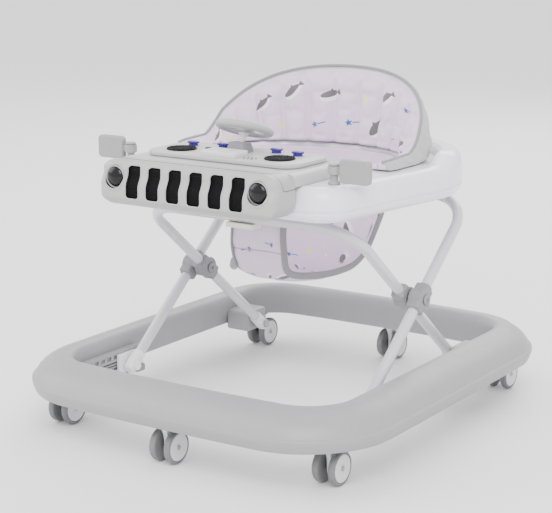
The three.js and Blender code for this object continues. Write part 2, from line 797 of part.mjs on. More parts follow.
function fasciaBody(stepIn, back) {
  const { half, bottom, top, radius, planRadius, face } = FASCIA;
  const side = prismX(fasciaSide(back, stepIn), [-half, half]);
  const frontView = roundedRect(stepIn - half, half - stepIn, bottom + stepIn, top - stepIn, radius - stepIn);
  const plan = roundedRect(stepIn - half, half - stepIn, face + stepIn, back + 2 * planRadius, planRadius);
  return common(side, prismY(frontView, [face - 5, back + 5], 3), prismZ(plan, [bottom - 5, top + 5], 4));
}

function fascia() {
  const back = FASCIA.face + FASCIA.depth;
  const slots = Array.from({ length: GRILLE.slots }, (_, i) => {
    const x = (i - (GRILLE.slots - 1) / 2) * GRILLE.pitch;
    const { slotWidth: w, slotHeight: h, z } = GRILLE;
    const shape = roundedRect(x - w / 2, x + w / 2, z - h / 2, z + h / 2, 5);
    return prismY(shape, [FASCIA.face - 10, FASCIA.face + 22], 2);
  });
  const lamps = [-1, 1].map((side) =>
    rodY(LAMP.radius + RUNNING_GAP, side * LAMP.x, [FASCIA.face - 10, FASCIA.face + 22], LAMP.z, 16),
  );
  return cut(fasciaBody(0, back), fasciaBody(FASCIA.wall, back + 3), ...slots, ...lamps);
}

function grilleInsert() {
  const half = ((GRILLE.slots - 1) / 2) * GRILLE.pitch + GRILLE.slotWidth / 2 + 3;
  const near = FASCIA.wall + GAP;
  const back = FASCIA.face + 30;
  const z = [GRILLE.z - GRILLE.slotHeight / 2 - 2, GRILLE.z + GRILLE.slotHeight / 2 + 2];
  const window = box([-half, half], [FASCIA.face, back - 12], z);
  const outer = common(prismX(fasciaSide(back, near), [-half, half]), window);
  return cut(outer, prismX(fasciaSide(back + 3, near + 2), [-half - 1, half + 1]));
}

function headlight() {
  const { radius, dome } = LAMP;
  const depth = 16;
  const profile = [
    [0, dome],
    [0.5 * radius, 0.85 * dome],
    [0.85 * radius, 0.45 * dome],
    [radius, 0],
    [radius, -depth],
    [0, -depth],
  ];
  const lens = new THREE.LatheGeometry(profile.map(([x, y]) => new THREE.Vector2(x, y)).reverse(), 16);
  return lens.rotateX(Math.PI).translate(LAMP.x, FASCIA.face + 3, LAMP.z);
}

function hood() {
  const { half, front, rear, top, skin: wall, radius } = HOOD;
  const outer = prismZ(roundedRect(-half, half, front, rear, radius), [onDeck, top]);
  const inner = prismZ(
    roundedRect(wall - half, half - wall, front + wall, rear - wall, radius - wall),
    [onDeck - 1, top - wall],
  );
  const back = FASCIA.face + FASCIA.depth + GAP;
  const overFascia = box([-half - 1, half + 1], [front - 1, back], [onDeck - 1, FASCIA.top + GAP]);
  return cut(outer, inner, overFascia);
}

add("fascia", fascia(), HOOD_GREY);
add("grille_insert", grilleInsert(), BLACK);
addPair("headlight", headlight(), BLACK);
add("hood", hood(), HOOD_GREY);

// ---- Console, toys and steering wheel ----

const steeringAngle = THREE.MathUtils.degToRad(STEERING.tilt);

// Turns a piece made round the Z axis so that it stands on the steering axis, leaning to the seat.
const onSteeringAxis = (geometry) => geometry.rotateX(-steeringAngle).translate(0, STEERING.y, consoleTop);

function consolePanel() {
  const { half, front, rear, radius } = CONSOLE;
  const panel = prismZ(roundedRect(-half, half, front, rear, radius), [consoleBase, consoleTop]);
  const block = roundedBox(
    [-BLOCK.half, BLOCK.half],
    [BLOCK.front, BLOCK.rear],
    [consoleTop - 3, consoleTop + BLOCK.height],
    2.5,
  );
  const wells = BUTTONS.map(({ x, y }) =>
    rodZ(BUTTON.radius + RUNNING_GAP, x, y, [consoleBase + 1.5, consoleTop + 1], 12),
  );
  return cut(join(panel, block), ...wells);
}

function toyButton(x, y) {
  const bottom = consoleBase + 1.5 + BUTTON.travel + GAP;
  return rodZ(BUTTON.radius, x, y, [bottom, consoleTop + BUTTON.height - 2], 12, BUTTON.radius - 1);
}

function drumPad() {
  const { x, y, radius, height } = DRUM;
  return rodZ(radius, x, y, [consoleTop + GAP, consoleTop + GAP + height], 20, radius - 2);
}

function steeringBoot() {
  const { baseRadius, topRadius, height } = BOOT;
  const boot = rodZ(baseRadius, 0, 0, [0, height], 16, topRadius).rotateX(-steeringAngle / 2);
  const floor = box([-40, 40], [-40, 40], [-20, GAP]);
  const bore = rodZ(STEERING.shaftRadius + RUNNING_GAP, 0, 0, [-20, height + 20]);
  const placed = cut(boot, floor).translate(0, STEERING.y, consoleTop);
  return cut(placed, onSteeringAxis(bore));
}

function steeringWheel() {
  const { hubHeight: h, rimRadius, rimThickness, hubRadius, shaftRadius, spokes, hornRadius } = STEERING;
  const arms = Array.from({ length: spokes }, (_, i) => {
    const arm = roundedBox([hubRadius - 4, rimRadius], [-5, 5], [h - 3, h + 2], 2);
    return arm.rotateZ(Math.PI / 2 + (i * 2 * Math.PI) / spokes);
  });
  const rim = new THREE.TorusGeometry(rimRadius, rimThickness, 6, 20).translate(0, 0, h);
  const body = join(
    rim,
    ...arms,
    rodZ(hubRadius, 0, 0, [h - 6, h + 6], 14),
    rodZ(shaftRadius, 0, 0, [2, h - 5]),
  );
  const well = rodZ(hornRadius + RUNNING_GAP, 0, 0, [h + 1, h + 7], 14);
  return onSteeringAxis(cut(body, well));
}

function hornButton() {
  const { hubHeight: h, hornRadius, hornTravel } = STEERING;
  return onSteeringAxis(rodZ(hornRadius, 0, 0, [h + 1 + hornTravel + GAP, h + 8], 14, hornRadius - 1));
}

add("console", consolePanel(), HOOD_GREY);
for (const { name, x, y } of BUTTONS) add(name, toyButton(x, y), BUTTON_BLUE);
addPair("drum_pad", drumPad(), BLACK);
add("steering_boot", steeringBoot(), BLOCK_GREY);
add("steering_wheel", steeringWheel(), HOOD_GREY);
add("horn_button", hornButton(), HOOD_GREY);

// ---- Mirrors ----

function mirrorPost() {
  const { postX: x, postY: y, postRadius: r, postHeight } = MIRROR;
  const top = onDeck + postHeight;
  return join(
    rodZ(r + 3, x, y, [onDeck, onDeck + 4], 16),
    rodZ(r, x, y, [onDeck + 3, top - 2]),
    rodZ(r + 2.5, x, y, [top - 3, top], 16),
  );
}

function mirror() {
  const { postX, postY: y, postRadius, width, depth, height } = MIRROR;
  const collarRadius = postRadius + RUNNING_GAP;
  const middle = onDeck + 19;
  const near = postX + 11;
  const body = join(
    rodZ(collarRadius + 3, postX, y, [middle - 6, middle + 6], 16),
    box([postX + postRadius, near + 4], [y - 4, y + 4], [middle - 4, middle + 4]),
    roundedBox([near, near + width], [y - depth / 2, y + depth / 2], [middle - height / 2, middle + height / 2], 5),
  );
  return cut(body, rodZ(collarRadius, postX, y, [middle - 7, middle + 7], 16));
}

addPair("mirror_post", mirrorPost(), HOOD_GREY);
addPair("mirror", mirror(), HOOD_GREY);

// ---- Soft seat ----

// The fabric seat: a bag hung in the tray's opening, with a leg hole through each side.
function sling() {
  const { wall, bottom, legHoleX, legHole, legRadius } = SLING;
  const { front, rear, half } = SEAT;
  const under = TRAY.bottom - 8;
  const deep = under - bottom;
  const s = seatScale;
  const belly = (smaller, z, width, y0, y1, radius) =>
    level(
      outline({
        front: y0 + smaller,
        rear: y1 - smaller,
        frontHalf: width - smaller,
        rearHalf: width - smaller,
        frontRadius: radius - smaller,
        rearRadius: radius - smaller,
      }),
      z,
    );
  // Smaller is 0 outside and the fabric's thickness inside; raised is how far the floor lies above the outside.
  const layers = (smaller, raised) => [
    belly(smaller, bottom + raised, half - 100, front + 38 * s, rear - 110 * s, 34 * s),
    belly(smaller, bottom + raised + 0.07 * deep, half - 66, front + 8 * s, rear - 80 * s, 60 * s),
    belly(smaller, bottom + raised + 0.27 * deep, half - 42, front - 11 * s, rear - 55 * s, 72 * s),
    belly(smaller, bottom + 0.6 * deep, half - 28, front - 17 * s, rear - 34 * s, 84 * s),
    belly(smaller, under, half - 10, front - 6 * s, rear - 12 * s, 90 * s),
    level(seatOutline(4 + smaller), TRAY.bottom + 3),
    level(seatOutline(3 + smaller), TRAY.deck - 6),
  ];
  const middle = (z) => seatOutline().map(() => new THREE.Vector3(0, (front + rear) / 2 - 30, z));
  const bowl = skin([middle(bottom), ...layers(0, 0), ...layers(wall, wall).reverse(), middle(bottom + wall)]);
  const hole = roundedRect(...legHole, legRadius);
  return cut(bowl, prismX(hole, [legHoleX, half + 20]), prismX(hole, [-half - 20, -legHoleX]));
}

// A horseshoe that follows the rear of the seat, trimmed to a domed top that falls away forwards to low wings.
function backrestPad() {
  const { outerHalf, innerHalf, start, tip, outerDepth, innerDepth, top } = PAD;
  const base = onDeck + 0.6;
  const plan = new THREE.Shape();
  plan.moveTo(outerHalf, tip);
  plan.absellipse(0, start, outerHalf, outerDepth, 0, Math.PI, false);
  plan.lineTo(-outerHalf, tip);
  plan.lineTo(-innerHalf, tip);
  plan.absellipse(0, start, innerHalf, innerDepth, Math.PI, 0, true);
  plan.lineTo(innerHalf, tip);
  const front = new THREE.Shape();
  front.moveTo(-outerHalf - 5, base);
  front.bezierCurveTo(-outerHalf - 5, base + 95, -0.6 * outerHalf, top, 0, top);
  front.bezierCurveTo(0.6 * outerHalf, top, outerHalf + 5, base + 95, outerHalf + 5, base);
  const rear = start + outerDepth;
  const side = new THREE.Shape();
  side.moveTo(tip - 1, base);
  side.quadraticCurveTo(tip + 2, base + 12, tip + 14, base + 13);
  side.lineTo(start - 12, base + 15);
  side.quadraticCurveTo(start + 8, base + 23, start + 30, base + 50);
  side.quadraticCurveTo(start + 70, top - 20, rear + 10, top + 4);
  side.lineTo(rear + 10, base);
  return common(
    prismZ(plan, [base, top + 10], 14),
    prismY(front, [tip - 5, rear + 5], 10),
    prismX(side, [-outerHalf - 10, outerHalf + 10], 6),
  );
}

add("seat_sling", sling(), FABRIC);
add("backrest_pad", backrestPad(), FABRIC);

export default walker;
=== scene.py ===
import json
import math

import bmesh
import bpy
from mathutils import Matrix, Vector
from mathutils.bvhtree import BVHTree


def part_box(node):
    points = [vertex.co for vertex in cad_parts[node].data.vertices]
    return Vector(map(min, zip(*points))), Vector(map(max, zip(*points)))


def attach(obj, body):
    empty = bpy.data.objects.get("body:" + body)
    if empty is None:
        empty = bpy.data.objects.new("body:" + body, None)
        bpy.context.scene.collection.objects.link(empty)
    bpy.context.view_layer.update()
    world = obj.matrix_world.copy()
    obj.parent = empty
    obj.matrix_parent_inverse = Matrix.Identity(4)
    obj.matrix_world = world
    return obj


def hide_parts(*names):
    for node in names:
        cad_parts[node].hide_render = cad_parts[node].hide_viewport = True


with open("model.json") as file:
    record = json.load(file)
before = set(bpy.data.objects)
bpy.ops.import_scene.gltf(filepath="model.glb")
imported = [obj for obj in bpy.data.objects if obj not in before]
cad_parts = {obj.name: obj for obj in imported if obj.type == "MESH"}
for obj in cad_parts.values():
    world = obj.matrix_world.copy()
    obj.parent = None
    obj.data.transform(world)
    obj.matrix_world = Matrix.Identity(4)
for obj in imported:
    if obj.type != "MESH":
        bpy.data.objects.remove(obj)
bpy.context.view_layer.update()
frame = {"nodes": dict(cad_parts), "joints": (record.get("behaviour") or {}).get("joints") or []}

MM = 0.001
SIDES = {"left": -1, "right": 1}


# ---- Shapes: lists of vertices and faces, gathered into one piece ----


class Shape:
    """The vertices, faces, material numbers and flat coordinates of a piece while it is being built."""

    def __init__(self):
        self.verts = []
        self.faces = []
        self.materials = []
        self.flat = []

    def add(self, part, material=0, place=None):
        verts, faces, *flat = part
        start = len(self.verts)
        place = place or Matrix.Identity(4)
        self.verts += [place @ Vector(v) for v in verts]
        self.faces += [tuple(i + start for i in face) for face in faces]
        self.materials += [material] * len(faces)
        self.flat += flat[0] if flat else [None] * len(faces)
        return self


def piece(name, shape, body, materials, replaces=(), crease=35):
    """A finished object made from a shape: cleaned, shaded, riding on its body and standing for its nodes."""
    mesh = bpy.data.meshes.new(name)
    mesh.from_pydata([tuple(v) for v in shape.verts], [], shape.faces)
    for material in materials:
        mesh.materials.append(material)
    for polygon, number in zip(mesh.polygons, shape.materials):
        polygon.material_index = number
    if any(shape.flat):
        layer = mesh.uv_layers.new(name="flat")
        for polygon, corners in zip(mesh.polygons, shape.flat):
            for loop, corner in zip(polygon.loop_indices, corners or []):
                layer.data[loop].uv = corner
    work = bmesh.new()
    work.from_mesh(mesh)
    bmesh.ops.remove_doubles(work, verts=work.verts, dist=2e-6)
    bmesh.ops.dissolve_degenerate(work, edges=work.edges, dist=1e-6)
    bmesh.ops.recalc_face_normals(work, faces=work.faces)
    work.to_mesh(mesh)
    work.free()
    mesh.shade_smooth()
    mesh.set_sharp_from_angle(angle=math.radians(crease))
    made = bpy.data.objects.new(name, mesh)
    bpy.context.scene.collection.objects.link(made)
    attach(made, body)
    if replaces:
        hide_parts(*replaces)
    return made


def loft(rings, closed=True, ends=True, wrap=False):
    """Quads between rings of points. Closed rings meet themselves; wrap joins the last ring to the first."""
    across = len(rings[0])
    verts = [point for ring in rings for point in ring]
    faces = []
    for i in range(len(rings) if wrap else len(rings) - 1):
        j = (i + 1) % len(rings)
        for k in range(across if closed else across - 1):
            m = (k + 1) % across
            faces.append((i * across + k, i * across + m, j * across + m, j * across + k))
    if ends and not wrap:
        faces.append(tuple(range(across))[::-1])
        faces.append(tuple((len(rings) - 1) * across + k for k in range(across)))
    return verts, faces


def in_mm(points):
    """Pairs or triples given in millimetres, in metres."""
    return [tuple(value * MM for value in point) for point in points]


def level(line, z):
    """A flat outline as points at one height."""
    return [Vector((p.x, p.y, z)) for p in line]


def mirrored(points):
    """Points on the other side of the walker, in the opposite order."""
    return [Vector((-p.x, p.y, p.z)) for p in reversed(points)]


def full_turn(steps):
    return [2 * math.pi * k / steps for k in range(steps)]


def squarer(value, power):
    """A cosine or sine raised to a power with its sign kept, which makes a circle squarer."""
    return math.copysign(abs(value) ** power, value)


def lathe(profile, steps=40):
    """A profile of (radius, height) points turned round the Z axis."""
    turn = full_turn(steps)
    rings = []
    for radius, z in profile:
        r = max(radius, 1e-5)
        rings.append([Vector((r * math.cos(a), r * math.sin(a), z)) for a in turn])
    return loft(rings)


def sweep(path, radius, sides=20, closed=False, ends=True):
    """A round tube along points. The radius is a number, or a function of the way along from 0 to 1."""
    count = len(path)
    if closed:
        tangents = [(path[(i + 1) % count] - path[i - 1]).normalized() for i in range(count)]
    else:
        tangents = [(path[min(i + 1, count - 1)] - path[max(i - 1, 0)]).normalized() for i in range(count)]
    normal = tangents[0].orthogonal().normalized()
    rings = []
    for i, (point, tangent) in enumerate(zip(path, tangents)):
        normal = (normal - tangent * normal.dot(tangent)).normalized()
        side = tangent.cross(normal)
        r = radius(i / (count - 1)) if callable(radius) else radius
        turn = full_turn(sides)
        rings.append([point + normal * (r * math.cos(a)) + side * (r * math.sin(a)) for a in turn])
    if closed:
        shift = min(range(sides), key=lambda s: (rings[-1][0] - rings[0][s]).length)
        rings.append([rings[0][(k + shift) % sides] for k in range(sides)])
        return loft(rings, ends=False)
    return loft(rings, ends=ends)


def rounded_box(low, high, radius, steps=3):
    """A block with round edges between two corners."""
    work = bmesh.new()
    bmesh.ops.create_cube(work, size=1)
    low, high = Vector(low), Vector(high)
    for vert in work.verts:
        vert.co = Vector(tuple(low[i] + (vert.co[i] + 0.5) * (high[i] - low[i]) for i in range(3)))
    bmesh.ops.bevel(work, geom=work.edges[:], offset=radius, segments=steps, profile=0.5, affect="EDGES")
    work.verts.index_update()
    part = [v.co.copy() for v in work.verts], [tuple(v.index for v in f.verts) for f in work.faces]
    work.free()
    return part


def round_rectangle(x0, x1, y0, y1, radius, steps=8, straights=4):
    """Points round a rectangle with round corners, with a few points along each straight."""
    left, right, near, far = x0 + radius, x1 - radius, y0 + radius, y1 - radius
    corners = [(right, near), (right, far), (left, far), (left, near)]
    points = []
    for quarter, (x, y) in enumerate(corners):
        for i in range(steps + 1):
            angle = math.pi / 2 * (quarter - 1 + i / steps)
            points.append(Vector((x + radius * math.cos(angle), y + radius * math.sin(angle))))
        next_x, next_y = corners[(quarter + 1) % 4]
        angle = math.pi / 2 * quarter
        following = Vector((next_x + radius * math.cos(angle), next_y + radius * math.sin(angle)))
        points += [points[-1].lerp(following, i / straights) for i in range(1, straights)]
    return points


def inset(points, distance):
    """A closed flat outline, anticlockwise, moved inwards square to itself."""
    moved = []
    for i, p in enumerate(points):
        along = (points[(i + 1) % len(points)] - points[i - 1]).normalized()
        moved.append(Vector((p.x - along.y * distance, p.y + along.x * distance)))
    return moved


def slab(outline, low, high, edge, steps=3, crown=0):
    """A flat outline pulled from low to high, with round edges and a crowned top."""
    angles = [math.pi / 2 * i / steps for i in range(steps + 1)]
    rings = [level(inset(outline, edge * (1 - math.sin(a))), low + edge * (1 - math.cos(a))) for a in angles]
    rings += [level(inset(outline, edge * (1 - math.cos(a))), high - edge * (1 - math.sin(a))) for a in angles]
    if crown:
        centre = sum(outline, Vector((0, 0))) / len(outline)
        inner = inset(outline, edge)
        for share in (0.25, 0.5, 0.75):
            lift = crown * (1 - (1 - share) ** 2)
            rings.append([Vector((*p.lerp(centre, share), high + lift)) for p in inner])
    return loft(rings)


def smooth_line(points, steps):
    """A Catmull-Rom curve through points, ends included."""
    padded = [points[0], *points, points[-1]]
    line = []
    for i in range(1, len(padded) - 2):
        a, b, c, d = padded[i - 1 : i + 3]
        for k in range(steps):
            t = k / steps
            squared, cubed = 2 * a - 5 * b + 4 * c - d, 3 * b - a - 3 * c + d
            line.append(0.5 * ((2 * b) + (c - a) * t + squared * t * t + cubed * t**3))
    return line + [points[-1].copy()]


def turned(axis, degrees):
    return Matrix.Rotation(math.radians(degrees), 4, axis)


def at(x, y, z):
    return Matrix.Translation((x, y, z))


ALONG_X = turned("Y", 90)  # takes the Z axis to +X


def trapezoid(front, rear, front_half, rear_half, front_radius, rear_radius, bow=0, side_bow=0, steps=14, edges=10):
    """Points round a trapezoid with round corners whose sides bulge, anticlockwise, as the CAD draws it."""
    corners = [
        (front_half - front_radius, front + front_radius, front_radius),
        (rear_half - rear_radius, rear - rear_radius, rear_radius),
        (rear_radius - rear_half, rear - rear_radius, rear_radius),
        (front_radius - front_half, front + front_radius, front_radius),
    ]

    def arc(corner, quarter, t):
        x, y, radius = corner
        angle = (quarter + t - 1) * math.pi / 2
        return Vector((x + radius * math.cos(angle), y + radius * math.sin(angle)))

    points = []
    for quarter, corner in enumerate(corners):
        points += [arc(corner, quarter, i / steps) for i in range(steps + 1)]
        following = arc(corners[(quarter + 1) % 4], quarter + 1, 0)
        points += [points[-1].lerp(following, i / (edges + 1)) for i in range(1, edges + 1)]
    middle = (front + rear) / 2
    reach = (rear - front) / 2
    half = max(front_half, rear_half)
    bulged = []
    for p in points:
        x, y = p.x / half, (p.y - middle) / reach
        bulged.append(Vector((p.x + side_bow * x * (1 - y * y), p.y + bow * y * (1 - x * x))))
    return bulged


def cut_out(target, tools):
    """The target piece with solid shapes cut out of it."""
    shape = Shape()
    for tool in tools:
        shape.add(tool)
    mesh = bpy.data.meshes.new("cutter")
    mesh.from_pydata([tuple(v) for v in shape.verts], [], shape.faces)
    work = bmesh.new()
    work.from_mesh(mesh)
    bmesh.ops.remove_doubles(work, verts=work.verts, dist=1e-6)
    bmesh.ops.recalc_face_normals(work, faces=work.faces)
    work.to_mesh(mesh)
    work.free()
    cutter = bpy.data.objects.new("cutter", mesh)
    bpy.context.scene.collection.objects.link(cutter)
    modifier = target.modifiers.new("cut", "BOOLEAN")
    modifier.operation = "DIFFERENCE"
    modifier.solver = "EXACT"
    modifier.object = cutter
    apply_modifiers(target)
    bpy.data.objects.remove(cutter)
    target.data.shade_smooth()
    target.data.set_sharp_from_angle(angle=math.radians(35))


def apply_modifiers(made):
    """Writes the piece's evaluated mesh back, and takes its modifiers off."""
    graph = bpy.context.evaluated_depsgraph_get()
    graph.update()
    mesh = bpy.data.meshes.new_from_object(made.evaluated_get(graph), depsgraph=graph)
    old = made.data
    made.modifiers.clear()
    made.data = mesh
    bpy.data.meshes.remove(old)


# ---- Materials ----


class Value:
    """A node's output that takes part in arithmetic, so that a pattern reads as a formula."""

    def __init__(self, tree, socket):
        self.tree = tree
        self.socket = socket

    def math(self, operation, *others):
        node = self.tree.nodes.new("ShaderNodeMath")
        node.operation = operation
        for place, other in zip(node.inputs, (self, *others)):
            if isinstance(other, Value):
                self.tree.links.new(other.socket, place)
            else:
                place.default_value = other
        return Value(self.tree, node.outputs[0])

    def __add__(self, other):
        return self.math("ADD", other)

    def __sub__(self, other):
        return self.math("SUBTRACT", other)

    def __mul__(self, other):
        return self.math("MULTIPLY", other)

    def __truediv__(self, other):
        return self.math("DIVIDE", other)

    def below(self, limit):
        return self.math("LESS_THAN", limit)

    def above(self, limit):
        return self.math("GREATER_THAN", limit)

    def size(self):
        return self.math("ABSOLUTE")


class Look:
    """A node material on the Principled shader, with helpers for what its colour and bump are made of."""

    def __init__(self, name, color, roughness, **shader):
        self.material = bpy.data.materials.new(name)
        self.material.use_nodes = True
        self.material.diffuse_color = (*color, 1)
        self.tree = self.material.node_tree
        self.shader = self.tree.nodes["Principled BSDF"]
        self.shader.inputs["Base Color"].default_value = (*color, 1)
        self.shader.inputs["Roughness"].default_value = roughness
        for key, value in shader.items():
            self.shader.inputs[key.replace("_", " ").title().replace("Ior", "IOR")].default_value = value
        self.color = (*color, 1)
        self.roughness = roughness
        self.heights = []
        self.place = self.tree.nodes.new("ShaderNodeTexCoord").outputs["Object"]

    def node(self, kind, inputs=None, **settings):
        made = self.tree.nodes.new(kind)
        for key, value in settings.items():
            setattr(made, key, value)
        for key, value in (inputs or {}).items():
            if isinstance(value, Value):
                value = value.socket
            if isinstance(value, bpy.types.NodeSocket):
                self.tree.links.new(value, made.inputs[key])
            else:
                made.inputs[key].default_value = value
        return made

    def noise(self, scale, detail=2.0, rough=0.5):
        inputs = {"Vector": self.place, "Scale": scale, "Detail": detail, "Roughness": rough}
        made = self.node("ShaderNodeTexNoise", inputs)
        return Value(self.tree, made.outputs["Fac"])

    def ranged(self, value, low, high, to_low, to_high):
        inputs = {"Value": value, "From Min": low, "From Max": high, "To Min": to_low, "To Max": to_high}
        return Value(self.tree, self.node("ShaderNodeMapRange", inputs).outputs["Result"])

    def tint(self, share, color):
        """Mixes a colour over what the colour is so far, by a share from 0 to 1."""
        before = self.shader.inputs["Base Color"]
        mix = self.node("ShaderNodeMix", data_type="RGBA")
        if before.is_linked:
            self.tree.links.new(before.links[0].from_socket, mix.inputs[6])
        else:
            mix.inputs[6].default_value = self.color
        mix.inputs[7].default_value = (*color, 1)
        self.tree.links.new(share.socket, mix.inputs[0])
        self.tree.links.new(mix.outputs[2], before)
        return self

    def bump(self, height, distance, strength=0.6):
        self.heights.append((height, distance, strength))
        return self

    def finished(self):
        """Chains the bumps into the normal, and hands over the material."""
        last = None
        for height, distance, strength in self.heights:
            inputs = {"Height": height, "Distance": distance, "Strength": strength}
            if last:
                inputs["Normal"] = last
            last = self.node("ShaderNodeBump", inputs).outputs["Normal"]
        if last:
            self.tree.links.new(last, self.shader.inputs["Normal"])
        return self.material


def shade(color, factor):
    return tuple(min(1, c * factor) for c in color)


def moulded(name, color, roughness, grain=1.0, coat=0.0, gloss=0.5):
    """Injection-moulded plastic: fine spark grain, faint cloudy tone, painted highlight on convex edges, painted shade
    in hollows and creases, light scuffs.
    """
    look = Look(name, color, roughness, coat_weight=coat, coat_roughness=0.12)
    look.shader.inputs["Specular IOR Level"].default_value = gloss
    cloud = look.noise(7, 3)
    look.tint(look.ranged(cloud, 0.35, 0.7, 0, 0.55), shade(color, 0.93))
    edge = Value(look.tree, look.node("ShaderNodeNewGeometry").outputs["Pointiness"])
    # Painted highlight: convex edges lightened by pointiness.
    look.tint(look.ranged(edge, 0.51, 0.6, 0, 0.3), shade(color, 1.18))
    # Painted shade: hollows and creases darkened by pointiness.
    look.tint(look.ranged(edge, 0.49, 0.42, 0, 0.35), shade(color, 0.72))
    scuff = look.noise(60, 6, 0.7)
    rough = look.ranged(scuff, 0.35, 0.75, roughness - 0.05, roughness + 0.1)
    look.tree.links.new(rough.socket, look.shader.inputs["Roughness"])
    look.bump(look.noise(1800, 2), 0.00003 * grain, 0.5)
    look.bump(look.noise(35, 2), 0.00025, 0.12)
    return look.finished()


def painted(name, color):
    """Baked paint on steel tube: a clear gloss over a faint orange-peel surface."""
    look = Look(name, color, 0.32, metallic=0.12, coat_weight=0.5, coat_roughness=0.08)
    look.tint(look.ranged(look.noise(11, 3), 0.35, 0.7, 0, 0.5), shade(color, 0.94))
    rough = look.ranged(look.noise(30, 2), 0.3, 0.8, 0.28, 0.34)
    look.tree.links.new(rough.socket, look.shader.inputs["Roughness"])
    look.bump(look.noise(420, 2), 0.00003, 0.15)
    return look.finished()


def steel(name, color):
    """Turned steel with fine circular tool marks."""
    look = Look(name, color, 0.34, metallic=0.9)
    look.tint(look.ranged(look.noise(150, 4), 0.3, 0.8, 0, 0.6), shade(color, 0.6))
    look.bump(look.noise(1500, 2), 0.00003, 0.4)
    return look.finished()


def weave(look, threads):
    """A plain weave's height: two crossed sets of threads in the look's own coordinates."""
    bands = []
    for direction in ("X", "Y"):
        inputs = {"Vector": look.place, "Scale": threads, "Distortion": 0.4, "Detail": 1.0}
        band = look.node("ShaderNodeTexWave", inputs, wave_type="BANDS", bands_direction=direction)
        bands.append(Value(look.tree, band.outputs["Fac"]))
    return bands[0] * bands[1]


def cloth(name, color, threads=300, sheen=0.35, flat=False):
    """Woven polyester: weave and fuzz in the bump, and slubs that darken single threads."""
    look = Look(name, color, 0.85, sheen_weight=sheen, sheen_roughness=0.45)
    if flat:
        look.place = look.node("ShaderNodeUVMap", uv_map="flat").outputs["UV"]
    woven = weave(look, threads)
    # Painted shade: the weave's low points, between the threads, darkened.
    look.tint(look.ranged(woven, 0.0, 0.5, 0.3, 0), shade(color, 0.8))
    look.tint(look.ranged(look.noise(16, 4), 0.4, 0.75, 0, 0.5), shade(color, 0.92))
    look.tint(look.ranged(look.noise(140, 3), 0.55, 0.75, 0, 0.3), shade(color, 1.08))
    look.bump(woven, 0.00022, 0.5)
    look.bump(look.noise(260, 4), 0.0002, 0.3)
    return look


def printed(name, color):
    """The seat's cloth with a scattered print: plain fish, stars on sticks, yellow petals and white dots."""
    look = cloth(name, color, flat=True)
    split = look.node("ShaderNodeSeparateXYZ", {"Vector": look.place})
    u = Value(look.tree, split.outputs["X"])
    v = Value(look.tree, split.outputs["Y"])
    pitch = 0.05
    row = (v / pitch).math("FLOOR")
    shifted = u / pitch + row * 0.37
    column = shifted.math("FLOOR")
    cell = look.node("ShaderNodeCombineXYZ", {"X": column, "Y": row})
    draw = look.node("ShaderNodeTexWhiteNoise", {"Vector": cell.outputs[0]}, noise_dimensions="3D")
    kind = Value(look.tree, draw.outputs["Value"])
    picks = look.node("ShaderNodeSeparateColor", {"Color": draw.outputs["Color"]})
    angle = Value(look.tree, picks.outputs[0]) * 2.4 - 1.2
    x = (shifted - column - 0.5) * pitch - (Value(look.tree, picks.outputs[1]) - 0.5) * 0.014
    y = (v / pitch - row - 0.5) * pitch - (Value(look.tree, picks.outputs[2]) - 0.5) * 0.014
    c, s = angle.math("COSINE"), angle.math("SINE")
    along = x * c + y * s
    across = y * c - x * s

    def ellipse(dx, dy, a, b):
        reach = ((along - dx) / a).math("POWER", 2) + ((across - dy) / b).math("POWER", 2)
        return reach.below(1)

    def chosen(low, high):
        return kind.above(low) * kind.below(high)

    fish = chosen(-1, 0.42)
    grey, belly = (0.13, 0.12, 0.13), (0.86, 0.84, 0.87)
    look.tint(fish * ellipse(0.0005, -0.0018, 0.0142, 0.0072), belly)
    look.tint(fish * ellipse(0.0005, 0.0014, 0.0128, 0.0048), grey)
    tail = (along + 0.0175).above(0) * (along + 0.0105).below(0)
    tail = tail * (across.size() + (along + 0.0105) * 0.75).below(0)
    look.tint(fish * tail, grey)
    fin = across.above(0.002) * (across - 0.0085).below(0)
    fin = fin * ((along + across * 0.6).size() - (across * -0.6 + 0.0056)).below(0)
    look.tint(fish * fin, grey)
    blue = (0.03, 0.09, 0.40)
    wand = chosen(0.42, 0.66)
    ray = (across.math("ARCTAN2", along) * 5).math("COSINE") * 0.0013 + 0.0036
    reach = (along * along + across * across).math("SQRT")
    look.tint(wand * (reach - ray).below(0), blue)
    stick = (across + along * 0.15).size().below(0.0008) * (along + 0.017).above(0) * (along + 0.0045).below(0)
    look.tint(wand * stick, blue)
    petals = chosen(0.66, 0.82)
    yellow = (0.86, 0.80, 0.25)
    look.tint(petals * ellipse(0.003, 0.001, 0.0042, 0.0030), yellow)
    look.tint(petals * ellipse(-0.003, -0.001, 0.0036, 0.0036), yellow)
    dots = chosen(0.82, 2)
    look.tint(dots * ellipse(0, 0, 0.0030, 0.0042), (0.90, 0.88, 0.91))
    return look.finished()


RING_GREY = moulded("ring_grey", (0.305, 0.303, 0.315), 0.42)
PANEL_GREY = moulded("panel_grey", (0.385, 0.385, 0.38), 0.40)
MIRROR_GREY = moulded("mirror_grey", (0.30, 0.295, 0.295), 0.42)
PALE_GREY = moulded("pale_grey", (0.47, 0.47, 0.475), 0.36)
BLOCK_WHITE = moulded("block_white", (0.66, 0.66, 0.67), 0.32)
TRAY_WHITE = moulded("tray_white", (0.86, 0.83, 0.92), 0.22, grain=0.4, coat=0.35)
FORK_WHITE = moulded("fork_white", (0.80, 0.80, 0.82), 0.38)
TYRE_GREY = moulded("tyre_grey", (0.165, 0.165, 0.17), 0.5)
DISC_WHITE = moulded("disc_white", (0.66, 0.66, 0.68), 0.4)
HINGE_GREY = moulded("hinge_grey", (0.235, 0.23, 0.24), 0.45)
DARK_GREY = moulded("dark_grey", (0.07, 0.07, 0.075), 0.45)
CREAM = moulded("cream", (0.78, 0.77, 0.68), 0.42)
GLOSS_BLACK = moulded("gloss_black", (0.004, 0.004, 0.006), 0.08, grain=0.1, gloss=0.3)
